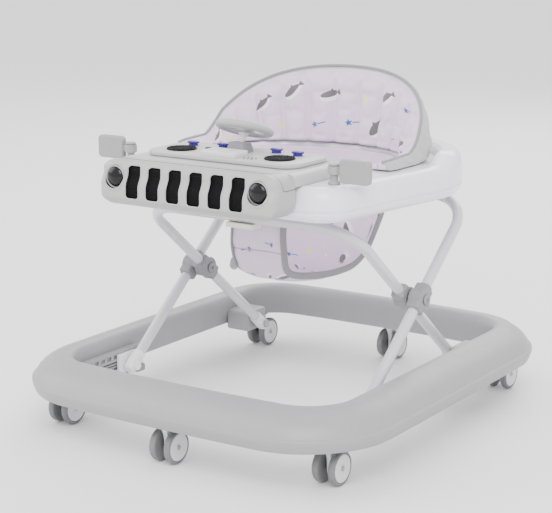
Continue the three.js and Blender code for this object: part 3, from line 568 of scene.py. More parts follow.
MATT_BLACK = moulded("matt_black", (0.006, 0.006, 0.007), 0.6, gloss=0.15)
VIOLET = moulded("violet", (0.030, 0.018, 0.20), 0.25, grain=0.3, gloss=0.4)
BOOT_GREY = moulded("boot_grey", (0.20, 0.19, 0.215), 0.5)
RIM_GREY = moulded("rim_grey", (0.38, 0.38, 0.39), 0.4)
TUBE_PAINT = painted("tube_paint", (0.62, 0.605, 0.66))
PLAIN_STEEL = steel("plain_steel", (0.42, 0.42, 0.44))
SEAT_PRINT = printed("seat_print", (0.77, 0.62, 0.79))
SEAT_PLAIN = cloth("seat_plain", (0.46, 0.38, 0.48)).finished()
BINDING = cloth("binding", (0.27, 0.26, 0.28), threads=420, sheen=0.25).finished()
BACKING = cloth("backing", (0.45, 0.45, 0.46), threads=260, sheen=0.25).finished()


# ---- Small fittings ----


def screw(radius, height):
    """A domed screw head with a round recess, standing on z = 0."""
    shares = [(0, 0), (1, 0), (1, 0.35), (0.8, 0.8), (0.45, 1), (0.3, 1), (0.24, 0.55), (0, 0.5)]
    return lathe([(across * radius, up * height) for across, up in shares], 20)


# ---- Base ring ----

ring_low, ring_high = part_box("base_ring")
RING_BAND = 67 * MM
RING_BOW, RING_SIDE_BOW = 9 * MM, 2 * MM
ring_half_x = ring_high.x - RING_SIDE_BOW
ring_half_y = ring_high.y - RING_BOW
ring_bottom, ring_crown = ring_low.z, ring_high.z - ring_low.z


def ring_outlines():
    def rounded(inward, radius):
        half_x, half_y = ring_half_x - inward, ring_half_y - inward
        return trapezoid(-half_y, half_y, half_x, half_x, radius, radius, RING_BOW, RING_SIDE_BOW, 18, 12)

    return rounded(0, 132 * MM), rounded(RING_BAND, 56 * MM)


def ring_section():
    """The channel's outside as [distance from the outer edge, height], with a crease above its skirt."""
    b, c = ring_bottom, ring_crown
    skirt = [(9, 0.0), (5.5, 0.03), (3.5, 0.12), (1.2, 0.24), (0.6, 0.34), (1.4, 0.385), (3.4, 0.40)]
    slope = [(5.5, 0.47), (9, 0.58), (14, 0.69), (21, 0.79), (29, 0.875), (38, 0.945), (45, 0.985), (52, 1.0),
             (59, 0.97), (64, 0.90), (66.6, 0.78), (66.8, 0.62), (65, 0.4), (62, 0.15), (61.4, 0.03)]
    return [Vector((x * MM, b + z * c)) for x, z in skirt] + [Vector((x * MM, b + z * c)) for x, z in slope]


def base_ring():
    outer, inner = ring_outlines()
    top = smooth_line(ring_section(), 2)
    wall = 2.6 * MM
    under = []
    for i, p in enumerate(top):
        along = (top[min(i + 1, len(top) - 1)] - top[max(i - 1, 0)]).normalized()
        under.append(Vector((p.x + along.y * wall, max(p.y - along.x * wall, ring_bottom))))
    rings = []
    for p in top + under[::-1]:
        near_outer = p.x < RING_BAND / 2
        line = inset(outer, p.x) if near_outer else inset(inner, p.x - RING_BAND)
        rings.append(level(line, p.y))
    shape = Shape().add(loft(rings, wrap=True))
    boss_low, boss_top = ring_bottom + 3 * MM, 0.092
    boss = [(0, boss_low), (11, boss_low), (11.6, ring_bottom + 4 * MM), (11.6, boss_top), (0, boss_top)]
    for x, y in caster_places.values():
        shape.add(lathe([(r * MM, z) for r, z in boss], 32), 0, at(x, y, 0))
    piece("ring_shell", shape, "base", [RING_GREY], ["base_ring"], crease=50)


PLACES = [f"{end}_{side}" for end in ("front", "rear") for side in ("left", "middle", "right")]
JOINTS = {j["name"]: j for j in frame["joints"]}
caster_places = {name: JOINTS["swivel_" + name]["pos_m"][:2] for name in PLACES}
base_ring()


# ---- Casters ----


def fork_shape():
    """The fork at its own stem: flange, stem, curved leg, dark hub, and the steel axle with its screw heads."""
    shape = Shape()
    flange = [(0, 57.2), (9, 57.2), (12.4, 56.6), (12.8, 55.6), (12.4, 54.2), (9, 53.2), (0, 53.2)]
    shape.add(lathe(in_mm(flange), 36))
    stem = [(0, 53), (4.9, 53), (4.9, 88), (4.2, 89.5), (0, 89.5)]
    shape.add(lathe(in_mm(stem), 24))
    rings = []
    for z, y0, y1, half in ((54, -7, 9, 6.4), (51, -6.4, 10.4, 5.6), (46, -4.6, 12, 4.7), (40, -2.6, 13.2, 4.2),
                            (32, -1.2, 13.6, 4.1), (24, -1.2, 13.4, 4.1), (18, -0.6, 12.6, 4.1), (14, 1.0, 11, 4.0),
                            (11.6, 3.2, 8.8, 3.6)):
        outline = round_rectangle(-half * MM, half * MM, y0 * MM, y1 * MM, min(half, 2.6) * MM, 5, 2)
        rings.append(level(outline, z * MM))
    shape.add(loft(rings))
    hub = [(0, -6.4), (5.2, -6.4), (6, -5.6), (6, 5.6), (5.2, 6.4), (0, 6.4)]
    shape.add(lathe(in_mm(hub), 28), 1, at(0, 6 * MM, 24 * MM) @ ALONG_X)
    axle = [(0, -0.018), (0.0029, -0.018), (0.0029, 0.018), (0, 0.018)]
    shape.add(lathe(axle, 20), 2, at(0, 6 * MM, 24 * MM) @ ALONG_X)
    for sign in (-1, 1):
        head = at(sign * 17.2 * MM, 6 * MM, 24 * MM) @ turned("Y", 90 * sign)
        shape.add(screw(3.6 * MM, 1.5 * MM), 2, head)
    return shape


def wheel_shape():
    """One wheel round the Z axis, its outer face up: tyre, rim groove and dished cover disc."""
    shape = Shape()
    tyre = [(3.7, -5.2), (8, -5.3), (16, -5.4), (20.6, -5.3), (22.6, -4.6), (23.6, -3.2), (23.95, -1.4), (23.95, 1.4),
            (23.6, 3.2), (22.6, 4.7), (21.2, 5.3), (20.3, 5.35), (19.9, 4.6), (19.9, 3.6), (3.7, 3.6), (3.7, -5.2)]
    shape.add(lathe(in_mm(tyre), 56))
    disc = [(3.8, 3.4), (19.3, 3.4), (19.3, 4.7), (18.7, 5.2), (15, 5.0), (9, 4.4), (6.2, 4.1), (5.4, 4.8), (4.4, 4.9),
            (3.8, 4.5), (3.8, 3.4)]
    shape.add(lathe(in_mm(disc), 48), 1)
    return shape


def casters():
    fork, wheel = fork_shape(), wheel_shape()
    for name, (x, y) in caster_places.items():
        placed = Shape().add((fork.verts, fork.faces), 0, at(x, y, 0))
        placed.materials = list(fork.materials)
        piece("fork_" + name, placed, "fork_" + name, [FORK_WHITE, DARK_GREY, PLAIN_STEEL],
              ["caster_fork_" + name])
        for side, sign in SIDES.items():
            low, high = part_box(f"caster_wheel_{name}_{side}")
            centre = (low + high) / 2
            placed = Shape().add((wheel.verts, wheel.faces), 0, at(*centre) @ turned("Y", 90 * sign))
            placed.materials = list(wheel.materials)
            piece(f"wheel_{name}_{side}", placed, f"wheel_{name}_{side}", [TYRE_GREY, DISC_WHITE],
                  [f"caster_wheel_{name}_{side}"])


casters()


# ---- Scissor frame ----

FOOT_Z, REAR_FOOT_Y = (JOINTS["fold"]["pos_m"][i] for i in (2, 1))
PIVOT_Y, PIVOT_Z = JOINTS["scissor"]["pos_m"][1:]
FRONT_FOOT_Y = JOINTS["shoe_level_left"]["pos_m"][1]
REAR_BAR = JOINTS["tray_level"]["pos_m"]
LEG_ANGLE = math.atan2(REAR_BAR[2] - FOOT_Z, REAR_BAR[1] - FRONT_FOOT_Y)
LEG_LENGTH = (REAR_BAR[2] - FOOT_Z) / math.sin(LEG_ANGLE)
TUBE_RADIUS, BEND_RADIUS = 8 * MM, 60 * MM
INNER_X, OUTER_X = 180 * MM, 205 * MM


def tube_frame(name, half, foot_y, forward, body, node):
    """A bent tube from foot to foot over its crossbar, with a moulded cap and a screw on each foot."""

    def along(x, distance):
        return Vector((x, foot_y + forward * distance * math.cos(LEG_ANGLE), FOOT_Z + distance * math.sin(LEG_ANGLE)))

    steps = 14
    bend = []
    for i in range(steps + 1):
        angle = math.pi / 2 * i / steps
        x = -half + BEND_RADIUS * (1 - math.cos(angle))
        bend.append(along(x, LEG_LENGTH - BEND_RADIUS * (1 - math.sin(angle))))
    straight = [along(-half, (LEG_LENGTH - BEND_RADIUS) * i / 12) for i in range(12)]
    left = straight + bend
    bar = [bend[-1].lerp(Vector((-bend[-1].x, bend[-1].y, bend[-1].z)), i / 10) for i in range(1, 10)]
    path = left + bar + mirrored(left)
    shape = Shape().add(sweep(path, TUBE_RADIUS, 28))
    tilt = at(0, foot_y, FOOT_Z) @ turned("X", forward * math.degrees(LEG_ANGLE))
    for sign in (-1, 1):
        place = at(sign * half, 0, 0) @ tilt
        shape.add(foot_cap(forward), 1, place)
        for turn in (-1, 1):
            head = at(sign * half + turn * 8.3 * MM, foot_y, FOOT_Z) @ turned("Y", 90 * turn)
            shape.add(screw(3.4 * MM, 1.0 * MM), 2, head)
    piece(name, shape, body, [TUBE_PAINT, FORK_WHITE, PLAIN_STEEL], [node])


def foot_cap(forward):
    """The cap on a tube's end in its own frame: the tube runs along +Y or -Y from here."""
    rings = []
    stations = [(-11.6, 3.5), (-11.2, 6), (-9.5, 8.0), (-6, 9.4), (-1, 10.0), (8, 10.0), (16, 9.6), (23, 9.2),
                (24, 8.7), (24, 8.05)]
    for distance, radius in stations:
        y = forward * distance * MM
        wide = min(radius, 8.4) * MM
        tall = radius * 0.98 * MM
        turn = full_turn(32)
        rings.append([Vector((wide * squarer(math.cos(a), 0.7), y, tall * squarer(math.sin(a), 0.8))) for a in turn])
    return loft(rings)


tube_frame("inner_tube", INNER_X, REAR_FOOT_Y, -1, "inner_frame", "inner_leg_frame")
tube_frame("outer_tube", OUTER_X, FRONT_FOOT_Y, 1, "outer_frame", "outer_leg_frame")


def hinge_block(side, name, x, forward, body):
    """The moulded block round a tube at the crossing: sleeve, round hub, rib lines and a recessed cap."""
    sign = SIDES[side]
    shape = Shape()
    tilt = at(sign * x, PIVOT_Y, PIVOT_Z) @ turned("X", forward * math.degrees(LEG_ANGLE))
    low, high = in_mm([(-10.6, -22.6, -11.8), (10.6, 22.6, 11.8)])
    shape.add(rounded_box(low, high, 3.6 * MM, 4), 0, tilt)
    for end in (-1, 1):
        collar = [(8.1, -1), (10.4, -1), (10.8, -0.4), (10.8, 1.2), (10.2, 1.8), (8.1, 1.8), (8.1, -1)]
        ring = tilt @ at(0, end * 21 * MM, 0) @ turned("X", -90 * end)
        shape.add(lathe(in_mm(collar), 32), 0, ring)
    hub = [(0, -10.9), (14.4, -10.9), (15.8, -9.6), (15.9, 0), (15.8, 9.6), (14.4, 10.9), (9.6, 10.9), (9.2, 9.9),
           (4.6, 9.9), (4.6, 9.2), (0, 9.2)]
    outward = 1 if name == "outer" else -1
    facing = at(sign * x, PIVOT_Y, PIVOT_Z) @ turned("Y", 90 * sign * outward)
    shape.add(lathe(in_mm(hub), 44), 0, facing)
    piece(f"{name}_block_{side}", shape, body, [HINGE_GREY], [f"{name}_hinge_block_{side}"], crease=40)


def hinge_pin(side):
    sign = SIDES[side]
    shape = Shape()
    low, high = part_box("scissor_pin_right")
    place = at(0, PIVOT_Y, PIVOT_Z) @ turned("Y", 90 * sign)
    ends = (low.x, high.x)
    near, far = ends[0] + 2 * MM, ends[1] - 2 * MM
    shape.add(lathe([(0, near), (3.9 * MM, near), (3.9 * MM, far), (0, far)], 24), 0, place)
    middle = (INNER_X + OUTER_X) / 2
    spacer = [(3.9, -1.2), (8.6, -1.2), (9, 0), (8.6, 1.2), (3.9, 1.2)]
    shape.add(lathe([(r * MM, middle + z * MM) for r, z in spacer], 36), 1, place)
    for inward, base in ((1, ends[1] - 3 * MM), (-1, ends[0] + 3 * MM)):
        head = [(0, 0), (7.6, 0), (7.9, 0.8), (7.4, 2.0), (5.6, 2.8), (3.2, 2.9), (2.8, 1.4), (0, 1.4)]
        tip = place @ at(0, 0, base) @ (turned("X", 0) if inward > 0 else turned("X", 180))
        shape.add(lathe(in_mm(head), 32), 2, tip)
    looks = [PLAIN_STEEL, DARK_GREY, HINGE_GREY]
    piece(f"hinge_pin_{side}", shape, "outer_frame", looks, [f"scissor_pin_{side}"])


for side in SIDES:
    hinge_block(side, "inner", INNER_X, -1, "inner_frame")
    hinge_block(side, "outer", OUTER_X, 1, "outer_frame")
    hinge_pin(side)


# ---- Tray shell ----

TRAY_BOTTOM, TRAY_DECK = 337 * MM, 384 * MM
RIM_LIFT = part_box("tray_shell")[1].z - TRAY_DECK
RIM_START, RIM_END = 58 * MM, 74 * MM
SEAT = {"front": -72 * MM, "rear": 160 * MM, "half": 140 * MM, "front_radius": 92 * MM, "rear_radius": 108 * MM}


def smoothstep(value, low, high):
    t = min(1, max(0, (value - low) / (high - low)))
    return t * t * (3 - 2 * t)


def bumper(y):
    return RIM_LIFT * smoothstep(y, RIM_START, RIM_END)


def seat_outline(smaller=0, steps=14, edges=10):
    return trapezoid(SEAT["front"] + smaller, SEAT["rear"] - smaller, SEAT["half"] - smaller, SEAT["half"] - smaller,
                     SEAT["front_radius"] - smaller, SEAT["rear_radius"] - smaller, steps=steps, edges=edges)


def tray_shell():
    """The tray's skin: outer wall with two grooves, rolled top edge, raised rear bumper, deck and seat opening."""
    outer = trapezoid(-212 * MM, 222 * MM, 206 * MM, 237 * MM, 46 * MM, 168 * MM)
    opening = seat_outline()
    side = [(9, 0, 0), (7.4, 0.6, 0), (5.6, 2.4, 0), (3.6, 4.6, 0), (2.6, 6, 0), (1.2, 9.4, 0), (0.4, 12.2, 0.1),
            (1.6, 13.2, 0.1), (1.5, 14.6, 0.15), (0.25, 15.8, 0.2), (0.3, 20, 0.45), (0.9, 26, 0.75), (2, 32, 1),
            (3.4, 36.4, 1), (5.6, 40.2, 1), (8.6, 43.6, 1), (12, 45.8, 1), (15.6, 46.9, 1), (20, 47, 1), (27, 47, 1),
            (31, 46.8, 1), (34.4, 46.9, 0.72), (36.6, 47, 0.25), (38.4, 47, 0)]
    rings = []
    for across, height, lifted in side:
        line = inset(outer, across * MM)
        rings.append([Vector((p.x, p.y, TRAY_BOTTOM + height * MM + lifted * bumper(p.y))) for p in line])
    last = rings[-1]
    lip = [(-7, 47), (-4.6, 46.8), (-2, 45.8), (-0.4, 43.8), (0, 41), (0, 30), (0, 18), (0, 6)]
    inner_rings = [level(inset(opening, across * MM), TRAY_BOTTOM + height * MM) for across, height in lip]
    for share in (0.25, 0.5, 0.75):
        rings.append([a.lerp(b, share) for a, b in zip(last, inner_rings[0])])
    rings += inner_rings
    wall = 2.5 * MM
    behind_lip = inset(opening, -wall)
    under = [level(behind_lip, TRAY_BOTTOM + 6 * MM), level(behind_lip, TRAY_DECK - 5 * MM)]
    for across, height, lifted in reversed(side[4:]):
        line = inset(outer, across * MM + wall)
        z = TRAY_BOTTOM + min(height * MM, TRAY_DECK - TRAY_BOTTOM) - wall
        under.append([Vector((p.x, p.y, z + lifted * bumper(p.y))) for p in line])
    under.append(level(inset(outer, 11.5 * MM), TRAY_BOTTOM))
    shape = Shape().add(loft(rings + under, wrap=True))
    for sign in (-1, 1):
        x0, x1 = sorted((sign * 70.3 * MM, sign * 87.7 * MM))
        low = (x0, REAR_BAR[1] - 13.7 * MM, REAR_BAR[2] + 9 * MM)
        shape.add(rounded_box(low, (x1, REAR_BAR[1] + 13.7 * MM, TRAY_DECK - 3 * MM), 2 * MM))
        for end in (-1, 1):
            y0, y1 = sorted((REAR_BAR[1] + end * 9 * MM, REAR_BAR[1] + end * 13.6 * MM))
            shape.add(rounded_box((x0, y0, REAR_BAR[2] - 5.8 * MM), (x1, y1, REAR_BAR[2] + 16 * MM), 1.4 * MM))
    piece("tray_moulding", shape, "tray", [TRAY_WHITE], ["tray_shell"], crease=60)


tray_shell()


# ---- Fascia, grille, headlights and hood ----

fascia_low, fascia_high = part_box("fascia")
GRILLE = {"slots": 6, "pitch": 35 * MM, "width": 21 * MM, "height": 46 * MM, "z": TRAY_DECK - 8 * MM}
LAMP = {"x": 120 * MM, "z": TRAY_DECK - 3 * MM, "radius": 16 * MM}
HOOD_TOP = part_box("hood")[1].z
FASCIA_BEND = (fascia_low.z + fascia_high.z) / 2


def face_depth(z):
    """How far the fascia's front leans back from its foremost plane, at a height."""
    low, high = fascia_low.z, fascia_high.z
    chin = 7 * MM * (1 - smoothstep(z, low, low + 12 * MM))
    lean = 7 * MM * smoothstep(z, FASCIA_BEND - 5 * MM, FASCIA_BEND + 14 * MM)
    brow = 7 * MM * smoothstep(z, high - 12 * MM, high)
    return chin + lean + brow


def fascia_point(x, z, behind=0):
    """The front surface where its outline in front view reaches, rounded back towards both ends."""
    half = fascia_high.x - behind
    plan = 13 * MM
    out = abs(x) - (half - plan)
    turn = plan - math.sqrt(max(0, plan * plan - out * out)) if out > 0 else 0
    return fascia_low.y + behind + face_depth(z) + turn


def fascia_layers(behind, back):
    """Rings from the middle of the face outwards to its outline, then straight back."""
    low, high, half = fascia_low.z + behind, fascia_high.z - behind, fascia_high.x - behind
    outline = round_rectangle(-half, half, low, high, 24 * MM - behind, 12, 26)
    centre = (low + high) / 2
    rings = []
    for share in (0, 0.2, 0.38, 0.52, 0.64, 0.74, 0.82, 0.88, 0.93, 0.965, 0.99, 1):
        ring = []
        for p in outline:
            x = p.x - math.copysign(1, p.x) * (1 - share) * min(abs(p.x), centre - low)
            z = centre + (p.y - centre) * share
            ring.append(Vector((x, min(fascia_point(x, z, behind), back), z)))
        rings.append(ring)
    for share in (0.06, 0.12, 0.2, 0.35, 0.5, 0.75, 1):
        ceiling = high + (HOOD_TOP + 0.4 * MM - fascia_high.z) * smoothstep(share, 0, 1)
        rings.append([Vector((p.x, p.y + (back - p.y) * share, min(p.z, ceiling))) for p in rings[11]])
    return rings


def slot_outline(x):
    g = GRILLE
    half, tall = g["width"] / 2 + 1.2 * MM, g["height"] / 2
    return round_rectangle(x - half, x + half, g["z"] - tall, g["z"] + tall, 5.5 * MM, 6, 8)


def grille_slots():
    return [(i - (GRILLE["slots"] - 1) / 2) * GRILLE["pitch"] for i in range(GRILLE["slots"])]


def fascia():
    back = fascia_high.y
    outer, inner = fascia_layers(0, back), fascia_layers(2.4 * MM, back)
    shape = Shape().add(loft(outer + inner[::-1], ends=False))
    body = piece("fascia_panel", shape, "tray", [PANEL_GREY], ["fascia"], crease=45)
    tools = []
    for x in grille_slots():
        line = slot_outline(x)
        tools.append(loft([[Vector((p.x, y, p.y)) for p in line] for y in (fascia_low.y - 0.01, fascia_low.y + 0.024)]))
    for sign in (-1, 1):
        reach, deep = LAMP["radius"] + 0.6 * MM, 0.02
        verts, faces = lathe([(0, -deep), (reach, -deep), (reach, deep), (0, deep)], 48)
        place = at(sign * LAMP["x"], fascia_low.y + 0.005, LAMP["z"]) @ turned("X", 90)
        tools.append(([place @ v for v in verts], faces))
    cut_out(body, tools)
    trim = Shape()
    for x in grille_slots():
        path = [Vector((p.x, fascia_point(p.x, p.y) + 0.6 * MM, p.y)) for p in inset(slot_outline(x), -0.3 * MM)]
        trim.add(sweep(path, 1.2 * MM, 8, closed=True))
    for sign in (-1, 1):
        turn = full_turn(48)
        reach = LAMP["radius"] + 1.2 * MM
        ring = [(sign * LAMP["x"] + reach * math.cos(a), LAMP["z"] + reach * math.sin(a)) for a in turn]
        trim.add(sweep([Vector((x, fascia_point(x, z) + 0.4 * MM, z)) for x, z in ring], 1.5 * MM, 8, closed=True))
    piece("fascia_trim", trim, "tray", [PANEL_GREY])
    piece("fascia_seam", Shape().add(sweep(seam_line(), 0.5 * MM, 6)), "tray", [DARK_GREY])


def seam_line():
    """The joint between bonnet and grille panel: along both sides at deck height, and over the top behind the brow."""
    half, high, radius = fascia_high.x, fascia_high.z, 24 * MM
    behind_face = fascia_low.y + 24 * MM
    turn = [math.pi / 2 * i / 10 for i in range(11)]
    x, z = half - radius, high - 0.4 * MM - radius
    corner = [Vector((x + radius * math.cos(a), behind_face, z + radius * math.sin(a))) for a in turn]
    along_side = (fascia_high.y - 1 * MM, fascia_high.y - 12 * MM, behind_face + 6 * MM)
    side = [Vector((half, y, corner[0].z + 2 * MM)) for y in along_side]
    right = side + corner[1:]
    across = [right[-1].lerp(Vector((-right[-1].x, right[-1].y, right[-1].z)), i / 16) for i in range(1, 16)]
    return smooth_line(right + across + mirrored(right), 2)


def grille():
    """The dark mesh behind the slots: a lattice of fine bars over a backing sheet, both bent with the face."""
    half = grille_slots()[-1] + GRILLE["width"] / 2 + 2.6 * MM
    low, high = GRILLE["z"] - GRILLE["height"] / 2 - 1.6 * MM, GRILLE["z"] + GRILLE["height"] / 2 + 1.6 * MM
    columns, rows = 84, 20

    def grid(behind, across, up, offset=0.0):
        ring_set = []
        for j in range(up + 1):
            z = low + (high - low) * j / up
            row = []
            for i in range(across + 1):
                share = (i + (offset if j % 2 else 0)) / across
                x = -half + 2 * half * min(share, 1)
                row.append(Vector((x, fascia_point(x, z) + behind, z)))
            ring_set.append(row)
        return loft(ring_set, closed=False, ends=False)

    net = Shape().add(grid(2.9 * MM, columns, rows, 0.5))
    lattice = piece("grille_lattice", net, "tray", [MATT_BLACK])
    wire = lattice.modifiers.new("bars", "WIREFRAME")
    wire.thickness = 0.7 * MM
    wire.use_even_offset = False
    apply_modifiers(lattice)
    backing = Shape().add(grid(4.4 * MM, 60, 14))
    sheet = piece("grille_back", backing, "tray", [MATT_BLACK], ["grille_insert"])
    thick = sheet.modifiers.new("thickness", "SOLIDIFY")
    thick.thickness = 1 * MM
    apply_modifiers(sheet)


def headlights():
    for side, sign in SIDES.items():
        x = sign * LAMP["x"]
        front = fascia_point(x, LAMP["z"])
        shape = Shape()
        lens = [(0, 4.6), (4, 4.4), (8, 3.6), (11, 2.3), (13.2, 0.6), (14.3, -1.2), (14.7, -3), (15.6, -3.2),
                (15.8, -4), (15.8, -12), (0, -12)]
        place = at(x, front, LAMP["z"]) @ turned("X", 90)
        shape.add(lathe(in_mm(lens), 56), 0, place)
        bezel = [(14.4, -1.2), (14.9, 0.1), (15.6, 0.3), (15.9, -0.5), (15.9, -3.4), (14.5, -3.4), (14.4, -1.2)]
        shape.add(lathe(in_mm(bezel), 56), 1, place)
        piece(f"lamp_lens_{side}", shape, "tray", [GLOSS_BLACK, PANEL_GREY], [f"headlight_{side}"])


hood_low, hood_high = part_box("hood")


def hood():
    """The bonnet between the grille panel and the seat, with a groove that frames the console."""
    half = hood_high.x - 0.3 * MM
    outline = round_rectangle(-half, half, hood_low.y - 60 * MM, hood_high.y, 30 * MM, 12, 12)
    front = fascia_high.y + 0.3 * MM
    top, low = hood_high.z, TRAY_DECK + 0.5 * MM
    centre = Vector((0, (front + hood_high.y) / 2))
    rings = []
    for across, z in ((0.4, low), (0, low + 1 * MM), (0.3, top - 8 * MM), (1.6, top - 4 * MM), (4, top - 1.6 * MM),
                      (7.5, top - 0.5 * MM), (12, top - 0.1 * MM), (16, top), (17, top - 0.9 * MM),
                      (18.2, top - 0.9 * MM), (19, top - 0.1 * MM), (28, top)):
        rings.append([Vector((p.x, max(p.y, front), z)) for p in inset(outline, across * MM)])
    for share in (0.3, 0.6):
        rings.append([p.lerp(Vector((*centre, top)), share) for p in rings[11]])
    piece("hood_panel", Shape().add(loft(rings)), "tray", [PALE_GREY], ["hood"], crease=50)


fascia()
grille()
headlights()
hood()


# ---- Console and toys ----

console_low, console_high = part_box("console")
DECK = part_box("drum_pad_right")[0].z - 0.4 * MM
CONSOLE_FRONT, CONSOLE_REAR = console_low.y, console_high.y
BUTTONS = ["lamp_button_left", "lamp_button_right", "melody_button_left", "melody_button_right"]


def middle_of(node):
    low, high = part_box(node)
    return (low + high) / 2


def console():
    half = console_high.x - 0.2 * MM
    outline = round_rectangle(-half, half, CONSOLE_FRONT + 0.2 * MM, CONSOLE_REAR - 0.2 * MM, 26 * MM, 12, 10)
    shape = Shape().add(slab(outline, console_low.z, DECK, 2.4 * MM, 4))
    block = round_rectangle(-29.6 * MM, 29.6 * MM, -189.6 * MM, -150.4 * MM, 6 * MM, 8, 6)
    raised = Shape().add(slab(block, DECK - 1 * MM, console_high.z - 0.8 * MM, 2.4 * MM, 4, crown=0.6 * MM))
    piece("console_block", raised, "tray", [BLOCK_WHITE])
    body = piece("console_panel", shape, "tray", [PALE_GREY], ["console"], crease=40)
    tools = []
    low, high = console_low.z + 1.5 * MM, DECK + 5 * MM
    for node in BUTTONS:
        centre = middle_of(node)
        verts, faces = lathe([(0, low), (7.6 * MM, low), (7.6 * MM, high), (0, high)], 32)
        tools.append(([at(centre.x, centre.y, 0) @ v for v in verts], faces))
    dark = Shape()
    # The speaker holes are not cut: black plugs level with the deck stand in for the shade inside them, a painted
    # shade.
    hole = [(0, -1), (1.7, -1), (1.7, 0.15), (0, 0.1)]
    for row, columns in enumerate((3, 4, 3)):
        for column in range(columns):
            x, y = (46 + 6.4 * (column - (columns - 1) / 2)) * MM, CONSOLE_FRONT + (13 + 6 * row) * MM
            dark.add(lathe(in_mm(hole), 14), 0, at(x, y, DECK))
    cut_out(body, tools)
    eye = [(0, -0.6), (4.6, -0.6), (4.8, 0.6), (4.2, 1.3), (3.0, 1.5), (0, 1.2)]
    dark.add(lathe(in_mm(eye), 28), 0, at(-56 * MM, CONSOLE_REAR - 44 * MM, DECK))
    piece("speaker_holes", dark, "tray", [MATT_BLACK])


def toy_buttons():
    for node in BUTTONS:
        low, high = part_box(node)
        height = (high.z - low.z) / MM
        shape = Shape()
        centre = (low + high) / 2
        stem = lathe([(0, 0), (6.8 * MM, 0), (6.8 * MM, height * MM), (0, height * MM)], 32)
        shape.add(stem, 0, at(centre.x, centre.y, low.z))
        oval = round_rectangle(-9.6 * MM, 9.6 * MM, -6.4 * MM, 6.4 * MM, 6.3 * MM, 8, 3)
        pill = [Vector((centre.x + p.x, centre.y + p.y)) for p in oval]
        shape.add(slab(pill, high.z - 0.2 * MM, high.z + 2.6 * MM, 1.2 * MM, 4, crown=0.5 * MM))
        piece(node + "_cap", shape, "press_" + node, [VIOLET], [node])
    for node in BUTTONS:
        centre = middle_of(node)
        collar = [(7.65, -0.8), (9.2, -0.8), (9.4, 0.1), (8.9, 0.5), (8.2, 0.5), (7.65, 0.2), (7.65, -0.8)]
        ring = Shape().add(lathe(in_mm(collar), 36), 0, at(centre.x, centre.y, DECK))
        piece(node + "_collar", ring, "tray", [PANEL_GREY])


def drum_pads():
    for side in SIDES:
        node = f"drum_pad_{side}"
        low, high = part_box(node)
        centre = (low + high) / 2
        radius = (high.x - low.x) / 2 / MM - 0.2
        profile = [(0, 0), (radius, 0), (radius, 1.2), (radius - 0.8, 2.2), (radius - 1.8, 2.2), (radius - 2.4, 1.4)]
        r = radius - 3.4
        while r > 3:
            profile += [(r, 1.5), (r - 0.5, 2.6), (r - 1.3, 2.6), (r - 1.8, 1.5)]
            r -= 2.6
        profile.append((0, 1.5))
        shape = Shape().add(lathe(in_mm(profile), 60), 0, at(centre.x, centre.y, low.z))
        for i in range(12):
            angle = 30 * i
            rib = rounded_box((5 * MM, -0.5 * MM, 1.4 * MM), ((radius - 2.2) * MM, 0.5 * MM, 2.9 * MM), 0.3 * MM, 1)
            shape.add(rib, 0, at(centre.x, centre.y, low.z) @ turned("Z", angle))
        piece(f"drum_skin_{side}", shape, "tray", [MATT_BLACK], [node], crease=30)


steer = JOINTS["steer"]
STEER_BASE = Vector(steer["pos_m"])
STEER_TILT = math.degrees(math.atan2(steer["axis"][1], steer["axis"][2]))
STEER = at(*STEER_BASE) @ turned("X", -STEER_TILT)


def steering():
    rings = []
    for half, z in ((16.6, 0.4), (16.8, 1.4), (16.4, 2.2), (15.9, 2.4), (15.4, 5), (14.4, 9), (13.2, 12.4),
                    (12.4, 13.6), (11, 14.2), (4.6, 14.3), (4.6, 4)):
        line = round_rectangle(-half * MM, half * MM, -half * MM, half * MM, min(half - 0.2, 8) * MM, 8, 3)
        rings.append(level(line, z * MM))
    boot = Shape().add(loft(rings), 0, at(*STEER_BASE) @ turned("X", -STEER_TILT / 3))
    piece("steering_bellows", boot, "tray", [BOOT_GREY], ["steering_boot"], crease=50)
    shape = Shape()
    turn = full_turn(72)
    rings = []
    for k in range(16):
        a = 2 * math.pi * k / 16
        r = 36 + 6 * math.cos(a) * (1.0 if math.cos(a) > 0 else 0.95)
        z = 34 + 5.6 * math.sin(a)
        rings.append([Vector((r * MM * math.cos(t), r * MM * math.sin(t), z * MM)) for t in turn])
    shape.add(loft(rings, wrap=True))
    hub = [(0, 27), (9, 27), (12.4, 28.6), (13, 31), (13, 37), (12.2, 39.4), (10.4, 40), (9.2, 39.6), (9.2, 35.2),
           (0, 35.2)]
    shape.add(lathe(in_mm(hub), 44))
    shaft = [(0, 2), (3.9, 2), (3.9, 20), (5.6, 24), (8.6, 27.6), (0, 27.6)]
    shape.add(lathe(in_mm(shaft), 28), 1)
    for i in range(3):
        rings = []
        for r, z, half, thick in ((9, 33.4, 7.4, 2.6), (14, 32.4, 6.2, 2.4), (20, 31.6, 5.2, 2.2),
                                  (26, 31.8, 5.0, 2.2), (31, 33, 5.6, 2.4), (35, 34, 6.4, 2.6)):
            outline = round_rectangle(-half, half, -thick, thick, 1.8, 4, 2)
            rings.append([Vector((r * MM, p.x * MM, (z + p.y) * MM)) for p in outline])
        shape.add(loft(rings), 0, turned("Z", 90 + 120 * i))
    placed = Shape().add((shape.verts, shape.faces), 0, STEER)
    placed.materials = list(shape.materials)
    piece("steering_rim", placed, "steering", [RIM_GREY, FORK_WHITE], ["steering_wheel"], crease=45)
    horn = [(0, 37.6), (8.2, 37.6), (8.4, 38.4), (8.4, 40.0), (7.6, 41.2), (5.4, 41.8), (0, 42)]
    cap = Shape().add(lathe(in_mm(horn), 36), 0, STEER)
    piece("horn_cap", cap, "horn", [HINGE_GREY], ["horn_button"])


console()
toy_buttons()
drum_pads()
steering()


# ---- Mirrors ----


